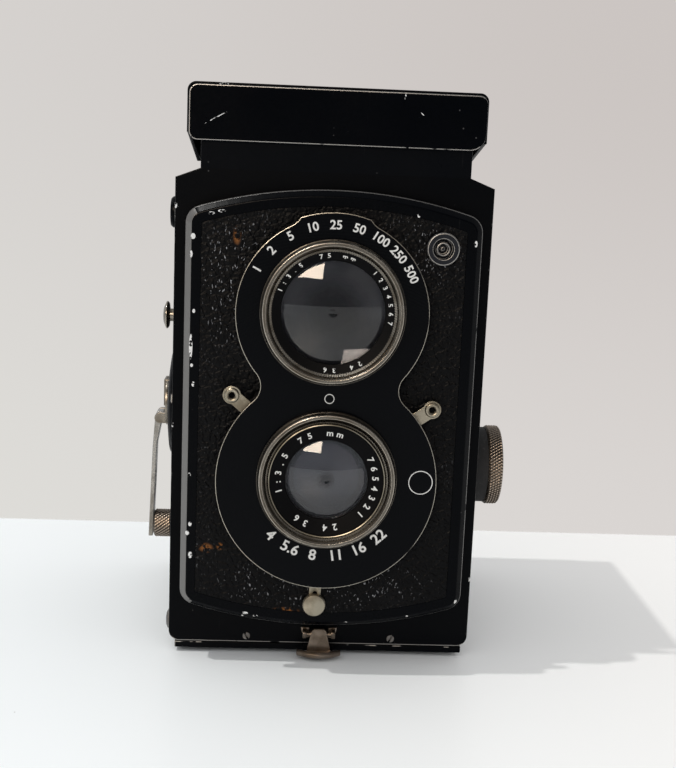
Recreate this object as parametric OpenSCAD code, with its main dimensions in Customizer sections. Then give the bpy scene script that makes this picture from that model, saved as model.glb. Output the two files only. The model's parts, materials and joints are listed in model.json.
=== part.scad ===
// Twin lens reflex camera with a front panel that slides to focus, a winding crank and a folding hood.
// Millimetres. X to the right seen from the front, Y from the lenses to the back, Z up.
// The origin is the mouth of the tripod bush, level with the feet.

/* [Body] */
// Width of the body
body_w = 80; // [74:1:90]
// Depth of the body casting
body_d = 72; // [70:1:78]
// Height from the viewing axis to the top of the casting
view_room = 31.2; // [29:0.1:36]
// Height of the casting's underside over the table
base_z = 3; // [2.8:0.1:4]
// Distance from the front of the casting back to the tripod bush
bush_setback = 37; // [34:1:40]
// Thickness of the front wall
front_wall = 2.5; // [2:0.1:4]
// Thickness of each side wall, with its gear space
side_wall = 7; // [6.8:0.1:8]
// Rounding of the lower corners, seen from the front
corner_r = 2.8; // [0.5:0.1:4]
// Rise of the sloping shoulders
shoulder_rise = 2.4; // [2:0.1:5]
// Step in from the body's side to the neck under the hood
neck_step = 6.2; // [4.5:0.1:6.8]
// Thickness of each side plate
side_plate_t = 1; // [0.6:0.1:1.4]
// Wall of each bush
bush_wall = 1.5; // [1:0.1:2]
// Thickness of the leather covering
leather_t = 0.6; // [0.3:0.1:0.8]
// Width of the bare rim around the side leather
side_rim = 3; // [2:0.1:5]
// Depth of the gear and cam spaces in the side walls, under the side plates
pocket_d = 4.1; // [3.8:0.1:4.4]

/* [Lenses] */
// Height of the taking lens axis over the table
take_z = 51.5; // [50:0.5:55]
// Distance between the lens axes
lens_gap = 42.3; // [41:0.1:44]
// Radius of the viewing lens bezel
view_bezel_r = 17.85; // [16.5:0.05:18.5]
// Radius of the taking lens bezel
take_bezel_r = 17.55; // [16.5:0.05:18.5]
// Radius of the viewing lens glass
view_glass_r = 13.4; // [11:0.1:14]
// Radius of the taking lens glass
take_glass_r = 10.4; // [8:0.1:11]
// Height of the bezels over the face plate
bezel_h = 3.4; // [2.5:0.1:5]
// Wall of the lens tubes
tube_wall = 1.6; // [1.2:0.1:2]

/* [Front panel] */
// Margin from the body's side to the front panel
panel_side = 3.1; // [2.5:0.1:4]
// Margin from the bottom of the casting to the front panel
panel_low = 7; // [6.4:0.1:8]
// Margin from the top of the casting to the front panel
panel_head = 1.6; // [1:0.1:3]
// Radius of the arched top and bottom edges
panel_arch_r = 115; // [90:1:150]
// Rounding of the panel's corners
panel_corner_r = 4.5; // [2:0.1:6]
// Depth of the panel from its rim to its back edge
panel_d = 5.4; // [5:0.1:6]
// Width of the bevel around the panel
panel_bevel = 1.6; // [0.8:0.1:2]
// Width of the rim outside the leather, with the bevel
panel_rim = 4; // [3.2:0.1:5]
// Thickness of the panel's face
panel_face_t = 1.6; // [1.2:0.1:2]
// Gap between the panel and the body at infinity
panel_gap = 0.6; // [0.4:0.1:1]
// Travel of the front panel from infinity to the nearest distance
focus_travel = 8; // [6:0.5:9]
// Radius of each guide post
post_r = 2; // [1.5:0.1:2.5]
// Distance of the guide posts in from the side walls
post_side = 4.5; // [3.6:0.1:6]
// Distance of the guide posts in from the panel's top and bottom
post_inset = 11; // [10:0.5:13]
// Length of the guide posts behind the panel's face
post_len = 19; // [17:0.5:20]

/* [Shutter] */
// Radius of the upper lobe of the face plate
upper_lobe_r = 24; // [23:0.1:25]
// Radius of the lower lobe of the face plate
lower_lobe_r = 28; // [27.6:0.1:29]
// Drop of the lower lobe under the taking axis
lower_lobe_drop = 1.1; // [0:0.1:2.5]
// Room between the shutter's guard and the viewing lens tube
guard_room = 1.3; // [0.8:0.1:2]
// Fillet at the waist of the face plate
waist_r = 5; // [2:0.5:8]
// Thickness of the face plate
face_t = 1.6; // [1:0.1:2]
// Room between the front lever and the face plate
lever_space = 0.15; // [0.1:0.05:0.5]
// Thickness of each lever
lever_t = 0.6; // [0.4:0.1:0.7]
// Pitch of the lever layers
lever_pitch = 0.9; // [0.8:0.05:0.95]
// Distance of the lever tabs from the taking axis
lever_tab_at = 31.8; // [31.4:0.1:33]
// Distance of the release button from the taking axis
release_at = 34.8; // [34.5:0.1:36]
// Radius of the lever tabs
tab_r = 2.3; // [2:0.1:2.8]
// Radius of the release button
release_r = 2.8; // [2:0.1:3.2]
// Radius of the shutter opening
shutter_hole_r = 7.5; // [6:0.1:7.6]
// Thickness of a shutter blade
blade_t = 0.3; // [0.2:0.05:0.4]

/* [Viewing] */
// Length of the reflex mirror along its slope
mirror_len = 61; // [56:0.5:64]
// Distance of the mirror's middle in front of the casting's rear edge
mirror_back = 38; // [36:0.5:40]
// Margin from the side walls to the focusing screen
screen_side = 1.7; // [1.2:0.1:2.5]
// Width of the ledge under the focusing screen
screen_ledge = 1.8; // [1.2:0.1:2.5]
// Thickness of the focusing screen
screen_t = 1.4; // [1:0.1:1.8]

/* [Focus drive] */
// Drop of the focus knob's axis under the taking axis
knob_drop = 4.5; // [3:0.5:7]
// Distance of the focus knob's axis behind the front of the casting
knob_back = 27; // [26:0.5:29]
// Radius of the focus knob's knurled band
knob_r = 11.2; // [9:0.1:13]
// Radius of the dark collar of the focus knob
collar_r = 10.6; // [8:0.1:12]
// Length of the dark collar
collar_len = 5.5; // [4.5:0.1:8]
// Length of the knurled band
band_len = 4; // [3:0.1:6]
// Radius of the knob shaft and of the crank shaft
shaft_r = 3; // [2.5:0.1:3.4]
// Smallest radius of the focus cam at its follower
cam_low = 5; // [4.6:0.1:6]
// Turn of the knob over the whole focus travel, in degrees
cam_turn = 300; // [270:5:310]
// Radius of the cam follower's pin
follower_r = 1.5; // [1.2:0.1:1.8]

/* [Crank and winding] */
// Rise of the crank axis over the taking axis
crank_rise = 9.2; // [8.5:0.1:10.5]
// Distance of the crank axis in front of the take-up spool
crank_back = 18.5; // [16.5:0.5:20.5]
// Radius of the round boss under the crank
boss_r = 16; // [12:0.5:17]
// Height of the boss over the leather
boss_h = 3.6; // [2.5:0.1:4]
// Length of the crank from its axis to its handle
crank_len = 36.7; // [35:0.1:38]
// Distance of the fold hinge from the crank axis
fold_drop = 4.4; // [4:0.1:5]
// Radius of the crank handle
handle_r = 4.1; // [3:0.1:4.4]
// Length of the crank handle
handle_len = 5.2; // [4:0.1:5.4]
// Tooth module of the winding gears
gear_module = 1; // [0.95:0.05:1]
// Teeth of the crank gear
crank_teeth = 40; // [40:1:41]
// Teeth of the spool gear
spool_teeth = 28; // [26:1:28]
// Thickness of the winding gears
gear_t = 2.4; // [1.5:0.1:2.8]
// Distance of the take-up spool in front of the casting's rear edge
spool_inset = 16.5; // [16:0.1:17.5]
// Radius of the spool flanges
flange_r = 12.4; // [11:0.1:12.6]
// Radius of the spool core
core_r = 6; // [5:0.1:7]
// Radius of the spool shafts
pivot_r = 2.5; // [2:0.1:3]
// Distance of the film chamber's axis behind the front of the casting
supply_back = 29; // [27:0.5:33]
// Height of the film chamber's axis
supply_z = 16.6; // [16:0.1:18]
// Pull of the spool knobs
knob_pull = 6.5; // [5:0.5:7]

/* [Counter] */
// Distance of the push button over the crank axis
button_rise = 24.8; // [24.3:0.1:25.5]
// Radius of the push button's head
button_r = 3.9; // [3:0.1:4]
// Travel of the push button
button_travel = 1.5; // [0.8:0.1:1.8]
// Distance of the counter window behind the front of the casting
counter_back = 17; // [16:0.5:19]
// Drop of the counter window under the top of the casting
counter_drop = 9.5; // [9:0.1:11]
// Radius of the counter window's bezel
counter_r = 4.1; // [3.5:0.1:4.5]
// Radius of the counter dial
dial_r = 10.5; // [9:0.1:11]
// Distance from the dial's axis up to the window
dial_drop = 7; // [6:0.1:7.5]

/* [Back] */
// Thickness of the hinged back and of its bottom
door_t = 1.6; // [1.2:0.1:1.8]
// Gap between the back and the casting
door_gap = 0.2; // [0.15:0.05:0.3]
// Radius of the door hinge's knuckles
knuckle_r = 1.7; // [1.4:0.1:1.9]
// Radius of the door hinge's pin
door_pin_r = 0.8; // [0.6:0.05:1]
// Side of the square picture opening
gate = 56; // [54:0.5:56]
// Distance of the film plane in front of the casting's rear edge
film_inset = 3.5; // [3.2:0.1:3.7]
// Radius of the tripod thread
tripod_r = 4.76; // [3.1:0.01:4.8]
// Height of the tripod bush
tripod_h = 5.5; // [4.5:0.1:6]
// Radius of the feet pressed in the base
foot_r = 3; // [2:0.1:4]
// Step in from the body's side to the base plate
base_step = 1.6; // [1:0.1:2.4]

/* [Latch] */
// Height of the latch pivot
latch_z = 6.4; // [6:0.1:7]
// Width of the latch tongue
tongue_w = 6.2; // [5:0.1:7]
// Width of the finger lip
lip_w = 11.7; // [9:0.1:13]
// Radius of the finger lip, seen from above
lip_r = 9; // [8:0.1:12]

/* [Hood] */
// Height of the hood over the neck
hood_h = 21; // [19:0.1:22]
// Step in from the body's side to the hood lid
lid_step = 2.5; // [1.8:0.1:3]
// Thickness of the lid and of its skirts
lid_t = 1; // [0.8:0.1:1.2]
// Rounding of the lid's upper edges
lid_r = 2.2; // [1.2:0.1:3]
// Step in from the body's side to the plate on the hood front
plate_step = 3.2; // [3:0.1:4]
// Height of the plate on the hood front
plate_h = 13.4; // [12:0.1:14]
// Thickness of the plate on the hood front
plate_t = 1.3; // [0.8:0.1:2]
// Rounding of the plate's lower corner on the right
plate_r = 4; // [2.4:0.1:5]
// Radius of the hood's hinge knuckles
hood_knuckle_r = 1; // [0.9:0.05:1.1]
// Radius of the hood's hinge pins
hood_pin_r = 0.5; // [0.4:0.05:0.55]
// Thickness of the inner flaps
flap_t = 0.8; // [0.5:0.1:1]
// Length of the rear flap
rear_flap_len = 23; // [18:0.5:24]
// Room between the folded magnifier and the lid's rear wall
loupe_back = 6.6; // [5:0.2:9]
// Radius of the magnifier lens
loupe_r = 11; // [9:0.1:12]
// Width of the magnifier's frame outside its lens
loupe_rim = 4; // [3:0.1:5]

/* [Fits] */
// Radial clearance of a shaft in its bush
run = 0.06; // [0.02:0.01:0.1]
// Clearance between parts that pass each other
pass = 0.3; // [0.2:0.05:0.4]

/* [Hidden] */
$fn = 64;
eps = 0.01;

// Planes of the casting
half_w = body_w / 2;
front_y = -bush_setback;
rear_y = front_y + body_d;
view_z = take_z + lens_gap;
top_z = view_z + view_room;
body_h = top_z - base_z;
inner_x = half_w - side_wall;
inner_y = front_y + front_wall;
neck_z = top_z + shoulder_rise;
neck_half = half_w - neck_step;

// Layers of a side wall, from the outside in
recess_x = half_w - leather_t - side_plate_t;
pocket_x = recess_x - pocket_d;

// Layers of the front, from the panel forwards
panel_half = half_w - panel_side;
panel_bottom = base_z + panel_low;
panel_top = top_z - panel_head;
panel_back = front_y - panel_gap;
panel_front = panel_back - panel_d;
panel_seat = panel_front + leather_t;
case_front = panel_seat - 0.9;
face_back = case_front - 0.15 - 2 * lever_pitch - lever_t - lever_space;
face_front = face_back - face_t;
bezel_front = face_front - bezel_h;
post_x = inner_x - post_side;
post_low_z = panel_bottom + post_inset;
post_high_z = panel_top - post_inset;
tray_y = panel_seat + panel_face_t;
socket_x = panel_half - 10;
socket_z = panel_top - 13.4;
view_tube_r = view_glass_r + tube_wall;
take_tube_r = take_glass_r + tube_wall;

// Shutter
case_back = panel_back - 0.8;
case_wall = 0.7;
rear_tube_r = 10.4;
rear_tube_end = case_back + 5;
take_hole_r = rear_tube_r + 1.2;
view_hole_r = view_tube_r + 1;
guard_out = lens_gap - view_tube_r - pass - guard_room;
guard_in = guard_out - 2;
case_r = guard_out - 1.1;
blade_pivot_at = case_r - 6.1;
blade_pin_r = 0.8;
blade_gap = 0.35;
paddle_r = shutter_hole_r - 0.5;
paddle_at = 3.6;
lever_ring_r = take_tube_r + 3;
aperture_at = 140;
speed_at = 34.5;
release_dir = 267;

// Focus drive
knob_y = front_y + knob_back;
knob_z = take_z - knob_drop;
cam_rate = focus_travel / cam_turn;
cam_x0 = pocket_x + 0.8;
cam_x1 = cam_x0 + 2.4;
follower_y = knob_y - cam_low - follower_r - pass / 2;
knob_x = half_w + 0.6;

// Winding
spool_y = rear_y - spool_inset;
crank_y = spool_y - crank_back;
crank_z = take_z + crank_rise;
supply_y = front_y + supply_back;
counter_y = front_y + counter_back;
counter_z = top_z - counter_drop;
gear_gap = gear_module * (crank_teeth + spool_teeth) / 2;
spool_z = crank_z + sqrt(gear_gap * gear_gap - pow(spool_y - crank_y, 2));
gear_line = atan2(spool_z - crank_z, spool_y - crank_y);
gear_x0 = -pocket_x - 0.8 - gear_t;
boss_x = half_w + boss_h;
hub_x = boss_x + pass;
hub_t = 0.8;
fold_r = 1.5;
fold_pin_r = 0.6;
fold_x = hub_x + hub_t + 0.2 + fold_r;
fold_z = crank_z - fold_drop;
fold_half = 2.4;
handle_z = crank_z - crank_len;
arm_t = 1.2;
arm_x = fold_x + 0.9;
arm_tip_x = fold_x + 1.8;
button_z = crank_z + button_rise;
button_neck_r = 1.8;
button_x = fold_x - 0.2;
dial_z = counter_z - dial_drop;

// Back
hinge_y = rear_y + knuckle_r + door_gap;
hinge_z = top_z - knuckle_r - 0.3;
knuckle_half = 20;
hinge_half = half_w - 4;
door_y0 = rear_y + door_gap;
door_y1 = door_y0 + door_t;
door_z1 = base_z - door_gap;
door_z0 = door_z1 - door_t;
film_y = rear_y - film_inset;
plate_gap = 0.3;

// Latch
latch_y = front_y - 2;
latch_pin_r = 0.6;
tongue_t = 1;
catch_y = front_y - 1.2;

// Hood
lid_half = half_w - lid_step;
plate_half = half_w - plate_step;
lid_top = neck_z + hood_h;
lid_low = lid_top - lid_t;
lid_hinge_y = front_y + 2.8;
lid_hinge_z = lid_low - hood_knuckle_r - 0.2;
hood_rear = rear_y - 1;
lid_y0 = lid_hinge_y - 1;
lid_y1 = hood_rear + 2.4;
base_t = 0.9;
flap_x = neck_half - 2.2;
flap_z = neck_z + 3.2;
rear_flap_y = hood_rear - 2.2;
rear_flap_z = flap_z - 1.2;
flap_y0 = front_y + 4.2;
flap_y1 = hood_rear - 3.4;
loupe_half = loupe_r + loupe_rim;
loupe_y = lid_y1 - lid_t - loupe_back - 2 * loupe_half;
loupe_z = lid_low - hood_knuckle_r - 0.3;
pin_half = neck_half - 10.4;
rear_half = flap_x - 6.5;
loupe_t = 1.6;

// Colours
black = [0.06, 0.06, 0.07];
dark = [0.12, 0.12, 0.13];
leather = [0.09, 0.08, 0.08];
nickel = [0.72, 0.7, 0.66];
brass = [0.66, 0.54, 0.32];
steel = [0.6, 0.6, 0.62];
glass = [0.7, 0.78, 0.85, 0.4];

// Shared shapes

// A flat outline in X and Z, given thickness from y0 to y1
module slab(y0, y1) {
    translate([0, y1, 0]) rotate([90, 0, 0]) linear_extrude(y1 - y0) children();
}

// A flat outline in Y and Z, given thickness from x0 to x1
module rib(x0, x1) {
    translate([x0, 0, 0]) rotate([90, 0, 90]) linear_extrude(x1 - x0) children();
}

// A round bar along X
module xbar(x0, x1, y, z, r) {
    translate([x0, y, z]) rotate([0, 90, 0]) cylinder(h = x1 - x0, r = r);
}

// A round bar along Y
module ybar(y0, y1, x, z, r) {
    translate([x, y0, z]) rotate([-90, 0, 0]) cylinder(h = y1 - y0, r = r);
}

// A round tube along Y
module ytube(y0, y1, x, z, r_out, r_in) {
    difference() {
        ybar(y0, y1, x, z, r_out);
        ybar(y0 - 1, y1 + 1, x, z, r_in);
    }
}

// A block between two corners
module block(a, b) {
    translate(a) cube(b - a);
}

// A turned piece about an axis along Y at height z, from an outline in radius and Y
module turned(z) {
    translate([0, 0, z]) rotate([-90, 0, 0]) rotate_extrude() children();
}

// Both mirror images of a piece about the middle plane
module both() {
    children();
    mirror([1, 0, 0]) children();
}

// A rectangle with four rounded corners, centred on X, with its lower edge at z0
module round_rect(half, z0, h, r) {
    translate([-half + r, z0]) square([2 * (half - r), h]);
    translate([-half, z0 + r]) square([2 * half, h - 2 * r]);
    for (sx = [-1, 1], z = [z0 + r, z0 + h - r]) translate([sx * (half - r), z]) circle(r);
}

// A wedge of a disc in X and Z, between two angles
module sector(r, a0, a1) {
    polygon(concat([[0, 0]], [for (i = [0:12]) r * [cos(a0 + (a1 - a0) * i / 12), sin(a0 + (a1 - a0) * i / 12)]]));
}

// Involute gear outline with a tooth centred on angle 0
function involute(base, r) = let (a = acos(base / r)) tan(a) * 180 / PI - a;
function gear_points(teeth) = let (
    rp = gear_module * teeth / 2,
    rb = rp * cos(20),
    ra = rp + gear_module * 0.95,
    rd = rp - gear_module * 1.2,
    play = 0.07,
    half = 90 / teeth - play / rp * 180 / PI + involute(rb, rp),
    r_low = max(rb, rd),
    flank = [for (i = [0:4]) let (r = r_low + (ra - r_low) * i / 4) [r, half - involute(rb, max(r, rb))]]
) [for (t = [0:teeth - 1]) let (c = 360 * t / teeth) each concat(
    [rd * [cos(c - half), sin(c - half)]],
    [for (p = flank) p[0] * [cos(c - p[1]), sin(c - p[1])]],
    [for (i = [4:-1:0]) flank[i][0] * [cos(c + flank[i][1]), sin(c + flank[i][1])]],
    [rd * [cos(c + half), sin(c + half)]]
)];

// Outline of the front panel, drawn in by a margin
module panel_outline(inset) {
    offset(delta = -inset, $fn = 48) offset(r = panel_corner_r, $fn = 48) offset(delta = -panel_corner_r, $fn = 48)
        intersection() {
            translate([-panel_half, panel_bottom]) square([2 * panel_half, panel_top - panel_bottom]);
            translate([0, panel_top - panel_arch_r]) circle(panel_arch_r, $fn = 240);
            translate([0, panel_bottom + panel_arch_r]) circle(panel_arch_r, $fn = 240);
        }
}

// Outline of the figure-of-eight face plate
module face_outline() {
    offset(r = -waist_r, $fn = 48) offset(delta = waist_r, $fn = 48) {
        translate([0, view_z - 0.6]) circle(upper_lobe_r, $fn = 96);
        translate([0, take_z - lower_lobe_drop]) circle(lower_lobe_r, $fn = 96);
        intersection() {
            translate([0, view_z - 0.6]) circle(upper_lobe_r + 1, $fn = 96);
            translate([-8, view_z]) square([16, 2 * upper_lobe_r]);
        }
    }
}

// Places of the guide posts
module at_posts() {
    for (sx = [-1, 1], z = [post_low_z, post_high_z]) translate([sx * post_x, 0, z]) children();
}

// Outline of the body seen from the front
module body_outline() {
    translate([-half_w, base_z + corner_r]) square([body_w, body_h - corner_r]);
    translate([-half_w + corner_r, base_z]) square([body_w - 2 * corner_r, body_h / 2]);
    for (sx = [-1, 1]) translate([sx * (half_w - corner_r), base_z + corner_r]) circle(corner_r);
}

// Outline of a side recess in Y and Z, drawn in by a margin
module side_outline(inset) {
    translate([front_y + side_rim + inset, base_z + side_rim + inset])
        square([body_d - 2 * (side_rim + inset), body_h - 2 * (side_rim + inset)]);
}

// Fixed pieces of the body

module body_shell() color(black) {
    difference() {
        slab(front_y, rear_y) body_outline();
        block([-inner_x, inner_y, base_z - 1], [inner_x, rear_y + 1, top_z + 1]);
        ybar(front_y - 1, inner_y + 1, 0, take_z, take_hole_r);
        ybar(front_y - 1, inner_y + 1, 0, view_z, view_hole_r);
        at_posts() ybar(front_y - 1, inner_y + 1, 0, 0, post_r + bush_wall);
        both() rib(recess_x, half_w + 1) side_outline(0);
        mirror([1, 0, 0]) gear_space();
        cam_space();
        xbar(-half_w, -inner_x + 1, spool_y, spool_z, pivot_r + run);
        xbar(inner_x - 1, half_w, spool_y, spool_z, pivot_r + bush_wall);
        xbar(inner_x - 1, half_w, supply_y, supply_z, pivot_r + bush_wall);
        for (sx = [-1, 1]) ybar(front_y - 1, front_y + 2, sx * 19.3, base_z + 1.8, 0.6);
        xbar(-half_w - 1, -half_w + 1.2, front_y + 5, base_z + 4.2, 1);
    }
    difference() {
        block([-knuckle_half, rear_y - 1, hinge_z - 1], [knuckle_half, hinge_y, hinge_z + 1]);
        block([-inner_x, inner_y, base_z], [inner_x, rear_y - 1 + eps, top_z]);
    }
    xbar(-knuckle_half, knuckle_half, hinge_y, hinge_z, knuckle_r);
    xbar(-hinge_half, hinge_half, hinge_y, hinge_z, door_pin_r);
    block([-knuckle_half, rear_y - 1, hinge_z - 1], [knuckle_half, rear_y, top_z]);
    block([-inner_x, rear_y - 1.2, top_z - 2.4], [inner_x, rear_y, top_z]);
    xbar(-inner_x - eps, -inner_x + 4, supply_y, supply_z, pivot_r);
}

// Space for the winding gears, the push button and the counter dial, drawn on the right
module gear_space() {
    xbar(pocket_x, recess_x + 1, crank_y, crank_z, gear_module * crank_teeth / 2 + 2);
    xbar(pocket_x, recess_x + 1, spool_y, spool_z, gear_module * spool_teeth / 2 + 2);
    xbar(pocket_x, recess_x + 1, crank_y, button_z, button_neck_r + 0.4);
    xbar(recess_x - 1.6, recess_x + 1, counter_y, dial_z, dial_r + 0.6);
    xbar(pocket_x, recess_x, counter_y, dial_z, 1.2 + run);
}

// Space for the focus cam, with the slot for its follower
module cam_space() {
    xbar(pocket_x, recess_x + 1, knob_y, knob_z, cam_low + focus_travel + 2);
    block([pocket_x, inner_y + 1.5, knob_z - follower_r - 0.9], [recess_x, knob_y, knob_z + follower_r + 0.9]);
    block([cam_x0 - 0.5, front_y - 1, knob_z - follower_r - 0.9], [cam_x0 + 1.7, inner_y + 2, knob_z + follower_r + 0.9]);
}

module top_plate() color(black) difference() {
    slab(front_y, rear_y) polygon([
        [-half_w, top_z], [half_w, top_z], [neck_half, neck_z], [-neck_half, neck_z]
    ]);
    screen_block(screen_ledge, top_z - 1, neck_z + 1);
    screen_block(-0.1, neck_z - screen_t, neck_z + 1);
}

// Space of the focusing screen, drawn in by a margin
module screen_block(inset, z0, z1) {
    half = inner_x - screen_side - inset;
    block([-half, front_y + 6.6 + inset, z0], [half, rear_y - 3.6 - inset, z1]);
}

module focusing_screen() color(glass) screen_block(0, neck_z - screen_t, neck_z);

// Holes for the bushes in the side plates and leathers
module bush_holes() {
    xbar(-half_w - 1, -recess_x + 1, crank_y, crank_z, shaft_r + bush_wall);
    xbar(recess_x - 1, half_w + 1, knob_y, knob_z, shaft_r + bush_wall);
    xbar(recess_x - 1, half_w + 1, spool_y, spool_z, pivot_r + bush_wall);
    xbar(recess_x - 1, half_w + 1, supply_y, supply_z, pivot_r + bush_wall);
}

module side_plates() color(dark) difference() {
    both() rib(recess_x, recess_x + side_plate_t) side_outline(0.1);
    bush_holes();
    xbar(-half_w - 1, -recess_x + 1, crank_y, button_z, button_neck_r + run);
    xbar(-half_w - 1, -recess_x + 1, counter_y, counter_z, counter_r - 1);
    xbar(-half_w - 1, -recess_x + 1, front_y + 5, base_z + 4.2, 1);
}

module side_leathers() color(leather) difference() {
    both() rib(half_w - leather_t, half_w) side_outline(0.1);
    bush_holes();
    xbar(-half_w - 1, -recess_x, crank_y, button_z, button_neck_r + 0.6);
    xbar(-half_w - 1, -recess_x, crank_y, crank_z, boss_r + 0.1);
    xbar(-half_w - 1, -recess_x, counter_y, counter_z, counter_r + 0.1);
    xbar(-half_w - 1, -recess_x, front_y + 5, base_z + 4.2, 1);
}

// Tapered box about the taking axis, from half side a at y0 to half side b at y1
module dark_box(a, b, y0, y1) intersection() {
    rib(-half_w, half_w) polygon([
        [y0, take_z - a], [y1, take_z - b], [y1, take_z + b], [y0, take_z + a]
    ]);
    translate([0, 0, take_z - half_w]) linear_extrude(2 * half_w) polygon([
        [-a, y0], [-b, y1], [b, y1], [a, y0]
    ]);
}

module film_gate() color(dark) difference() {
    union() {
        dark_box(take_hole_r + 2, gate / 2 + 2, inner_y, film_y - 1);
        block([-inner_x, film_y - 2, take_z - gate / 2 - 2.5], [inner_x, film_y, take_z + gate / 2 + 1.5]);
    }
    dark_box(take_hole_r + 0.8, gate / 2, inner_y - 0.1, film_y - 1);
    block([-gate / 2, film_y - 2, take_z - gate / 2], [gate / 2, film_y + 1, take_z + gate / 2]);
}

// The mirror lies at 45 degrees on the viewing axis, so that the screen is in focus
module on_mirror() {
    translate([0, rear_y - mirror_back, view_z]) rotate([45, 0, 0]) children();
}

// A plate along the mirror, with its half width and the overhang of its ends
module mirror_slab(half, over, z0, z1) {
    on_mirror() block([-half, -mirror_len / 2 - over, z0], [half, mirror_len / 2 + over, z1]);
}

module mirror_frame() color(dark) mirror_slab(inner_x, 0.5, -2.7, -1.5);

module reflex_mirror() color(steel) mirror_slab(inner_x - 5, 0, -1.5, 0);

module bushes() color(brass) {
    at_posts() ytube(front_y, front_y + 8, 0, 0, post_r + bush_wall, post_r + run);
    difference() {
        union() {
            xbar(-boss_x, -recess_x, crank_y, crank_z, shaft_r + bush_wall);
            xbar(recess_x, half_w + 0.3, knob_y, knob_z, shaft_r + bush_wall);
            xbar(inner_x, half_w + 0.3, spool_y, spool_z, pivot_r + bush_wall);
            xbar(inner_x, half_w + 0.3, supply_y, supply_z, pivot_r + bush_wall);
        }
        xbar(-boss_x - 1, -recess_x + 1, crank_y, crank_z, shaft_r + run);
        xbar(recess_x - 1, half_w + 1, knob_y, knob_z, shaft_r + run);
        xbar(inner_x - 1, half_w + 1, spool_y, spool_z, pivot_r + run);
        xbar(inner_x - 1, half_w + 1, supply_y, supply_z, pivot_r + run);
    }
}

module crank_boss() color(black) translate([-half_w + leather_t, crank_y, crank_z]) rotate([0, -90, 0])
    rotate_extrude() polygon([
        [shaft_r + bush_wall, 0], [boss_r, 0], [boss_r, leather_t + boss_h - 1.4],
        [boss_r - 1.4, leather_t + boss_h - 0.5], [boss_r - 5, leather_t + boss_h],
        [shaft_r + bush_wall, leather_t + boss_h]
    ]);

module counter_window() color(black) translate([-half_w + leather_t, counter_y, counter_z]) rotate([0, -90, 0])
    rotate_extrude() polygon([
        [counter_r - 1, 0], [counter_r, 0], [counter_r, leather_t + 1.8], [counter_r - 0.5, leather_t + 2.4],
        [counter_r - 1, leather_t + 2.4]
    ]);

module latch_bracket() color(nickel) {
    ear = tongue_w / 2 + 0.2;
    both() {
        slab(front_y - 0.8, front_y) polygon([
            [ear - 0.8, latch_z + 1.3], [ear + 1.5, latch_z + 1.4], [ear + 1.2, latch_z], [ear, latch_z - 1.4], [ear - 0.8, latch_z - 1.4]
        ]);
        difference() {
            rib(ear, ear + 1) polygon([
                [front_y, latch_z - 1.3], [latch_y - 0.6, latch_z - 1], [latch_y - 1, latch_z + 0.6], [latch_y - 0.6, latch_z + 1],
                [front_y, latch_z + 1.3]
            ]);
            xbar(0, half_w, latch_y, latch_z, latch_pin_r);
        }
    }
    xbar(-ear - 1, ear + 1, latch_y, latch_z, latch_pin_r);
}

// Slotted screws in the front, and a domed screw low on the left side
module body_screws() color(nickel) {
    for (sx = [-1, 1]) translate([sx * 19.3, 0, base_z + 1.8]) difference() {
        union() {
            ybar(front_y - 0.3, front_y, 0, 0, 1);
            ybar(front_y - eps, front_y + 2, 0, 0, 0.6);
        }
        rotate([0, 90 + 25 * sx, 0]) block([-2, front_y - 1, -0.25], [2, front_y + 0.5, 0.25]);
    }
    translate([-half_w, front_y + 5, base_z + 4.2]) rotate([0, -90, 0]) {
        rotate_extrude() polygon([[0, 0], [2.7, 0], [2.5, 0.6], [1.7, 1], [0, 1.2]]);
        translate([0, 0, -1.2]) cylinder(h = 1.2 + eps, r = 1);
    }
}

// Pieces that slide with the front panel

module lens_panel() color(black) difference() {
    hull() {
        slab(panel_front + panel_bevel, panel_back) panel_outline(0);
        slab(panel_front, panel_front + eps) panel_outline(panel_bevel);
    }
    slab(panel_front - 1, panel_seat) panel_outline(panel_rim);
    difference() {
        slab(tray_y, panel_back + 1) panel_outline(2.2);
        at_posts() ybar(tray_y - 1, panel_back + 2, 0, 0, post_r + 1.4);
    }
    ybar(panel_front - 1, panel_back + 1, 0, take_z, case_r + 0.1);
    ybar(panel_front - 1, panel_back + 1, 0, view_z, view_tube_r + 0.1);
    ybar(panel_front - 1, tray_y - 0.5, socket_x, socket_z, 3);
    at_posts() ybar(tray_y, panel_back + 1, 0, 0, post_r);
    follower_foot(panel_back + 1);
}

// Foot of the cam follower's bar, let into the back edge of the panel
module follower_foot(y1) {
    block([cam_x0, panel_back - 2, knob_z - follower_r], [cam_x0 + 1.3, y1, knob_z + follower_r]);
}

// Sweep of a lever's arm, as a cut in X and Z
module lever_sweep(a0, a1, r) {
    translate([0, take_z]) sector(r, a0, a1);
}

module panel_leather() color(leather) difference() {
    slab(panel_front, panel_seat) panel_outline(panel_rim + 0.1);
    slab(panel_front - 1, panel_seat + 1) {
        translate([0, view_z]) circle(upper_lobe_r - 2.9);
        translate([0, take_z]) circle(guard_out + 0.1);
    }
    ybar(panel_front - 1, panel_seat + 1, socket_x, socket_z, 4.2);
}

module face_plate() color(black) difference() {
    slab(face_front, face_back) face_outline();
    ybar(face_front - 1, face_back + 1, 0, view_z, view_tube_r + 0.05);
    ybar(face_front - 1, face_back + 1, 0, take_z, take_tube_r + 0.05);
}

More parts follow.
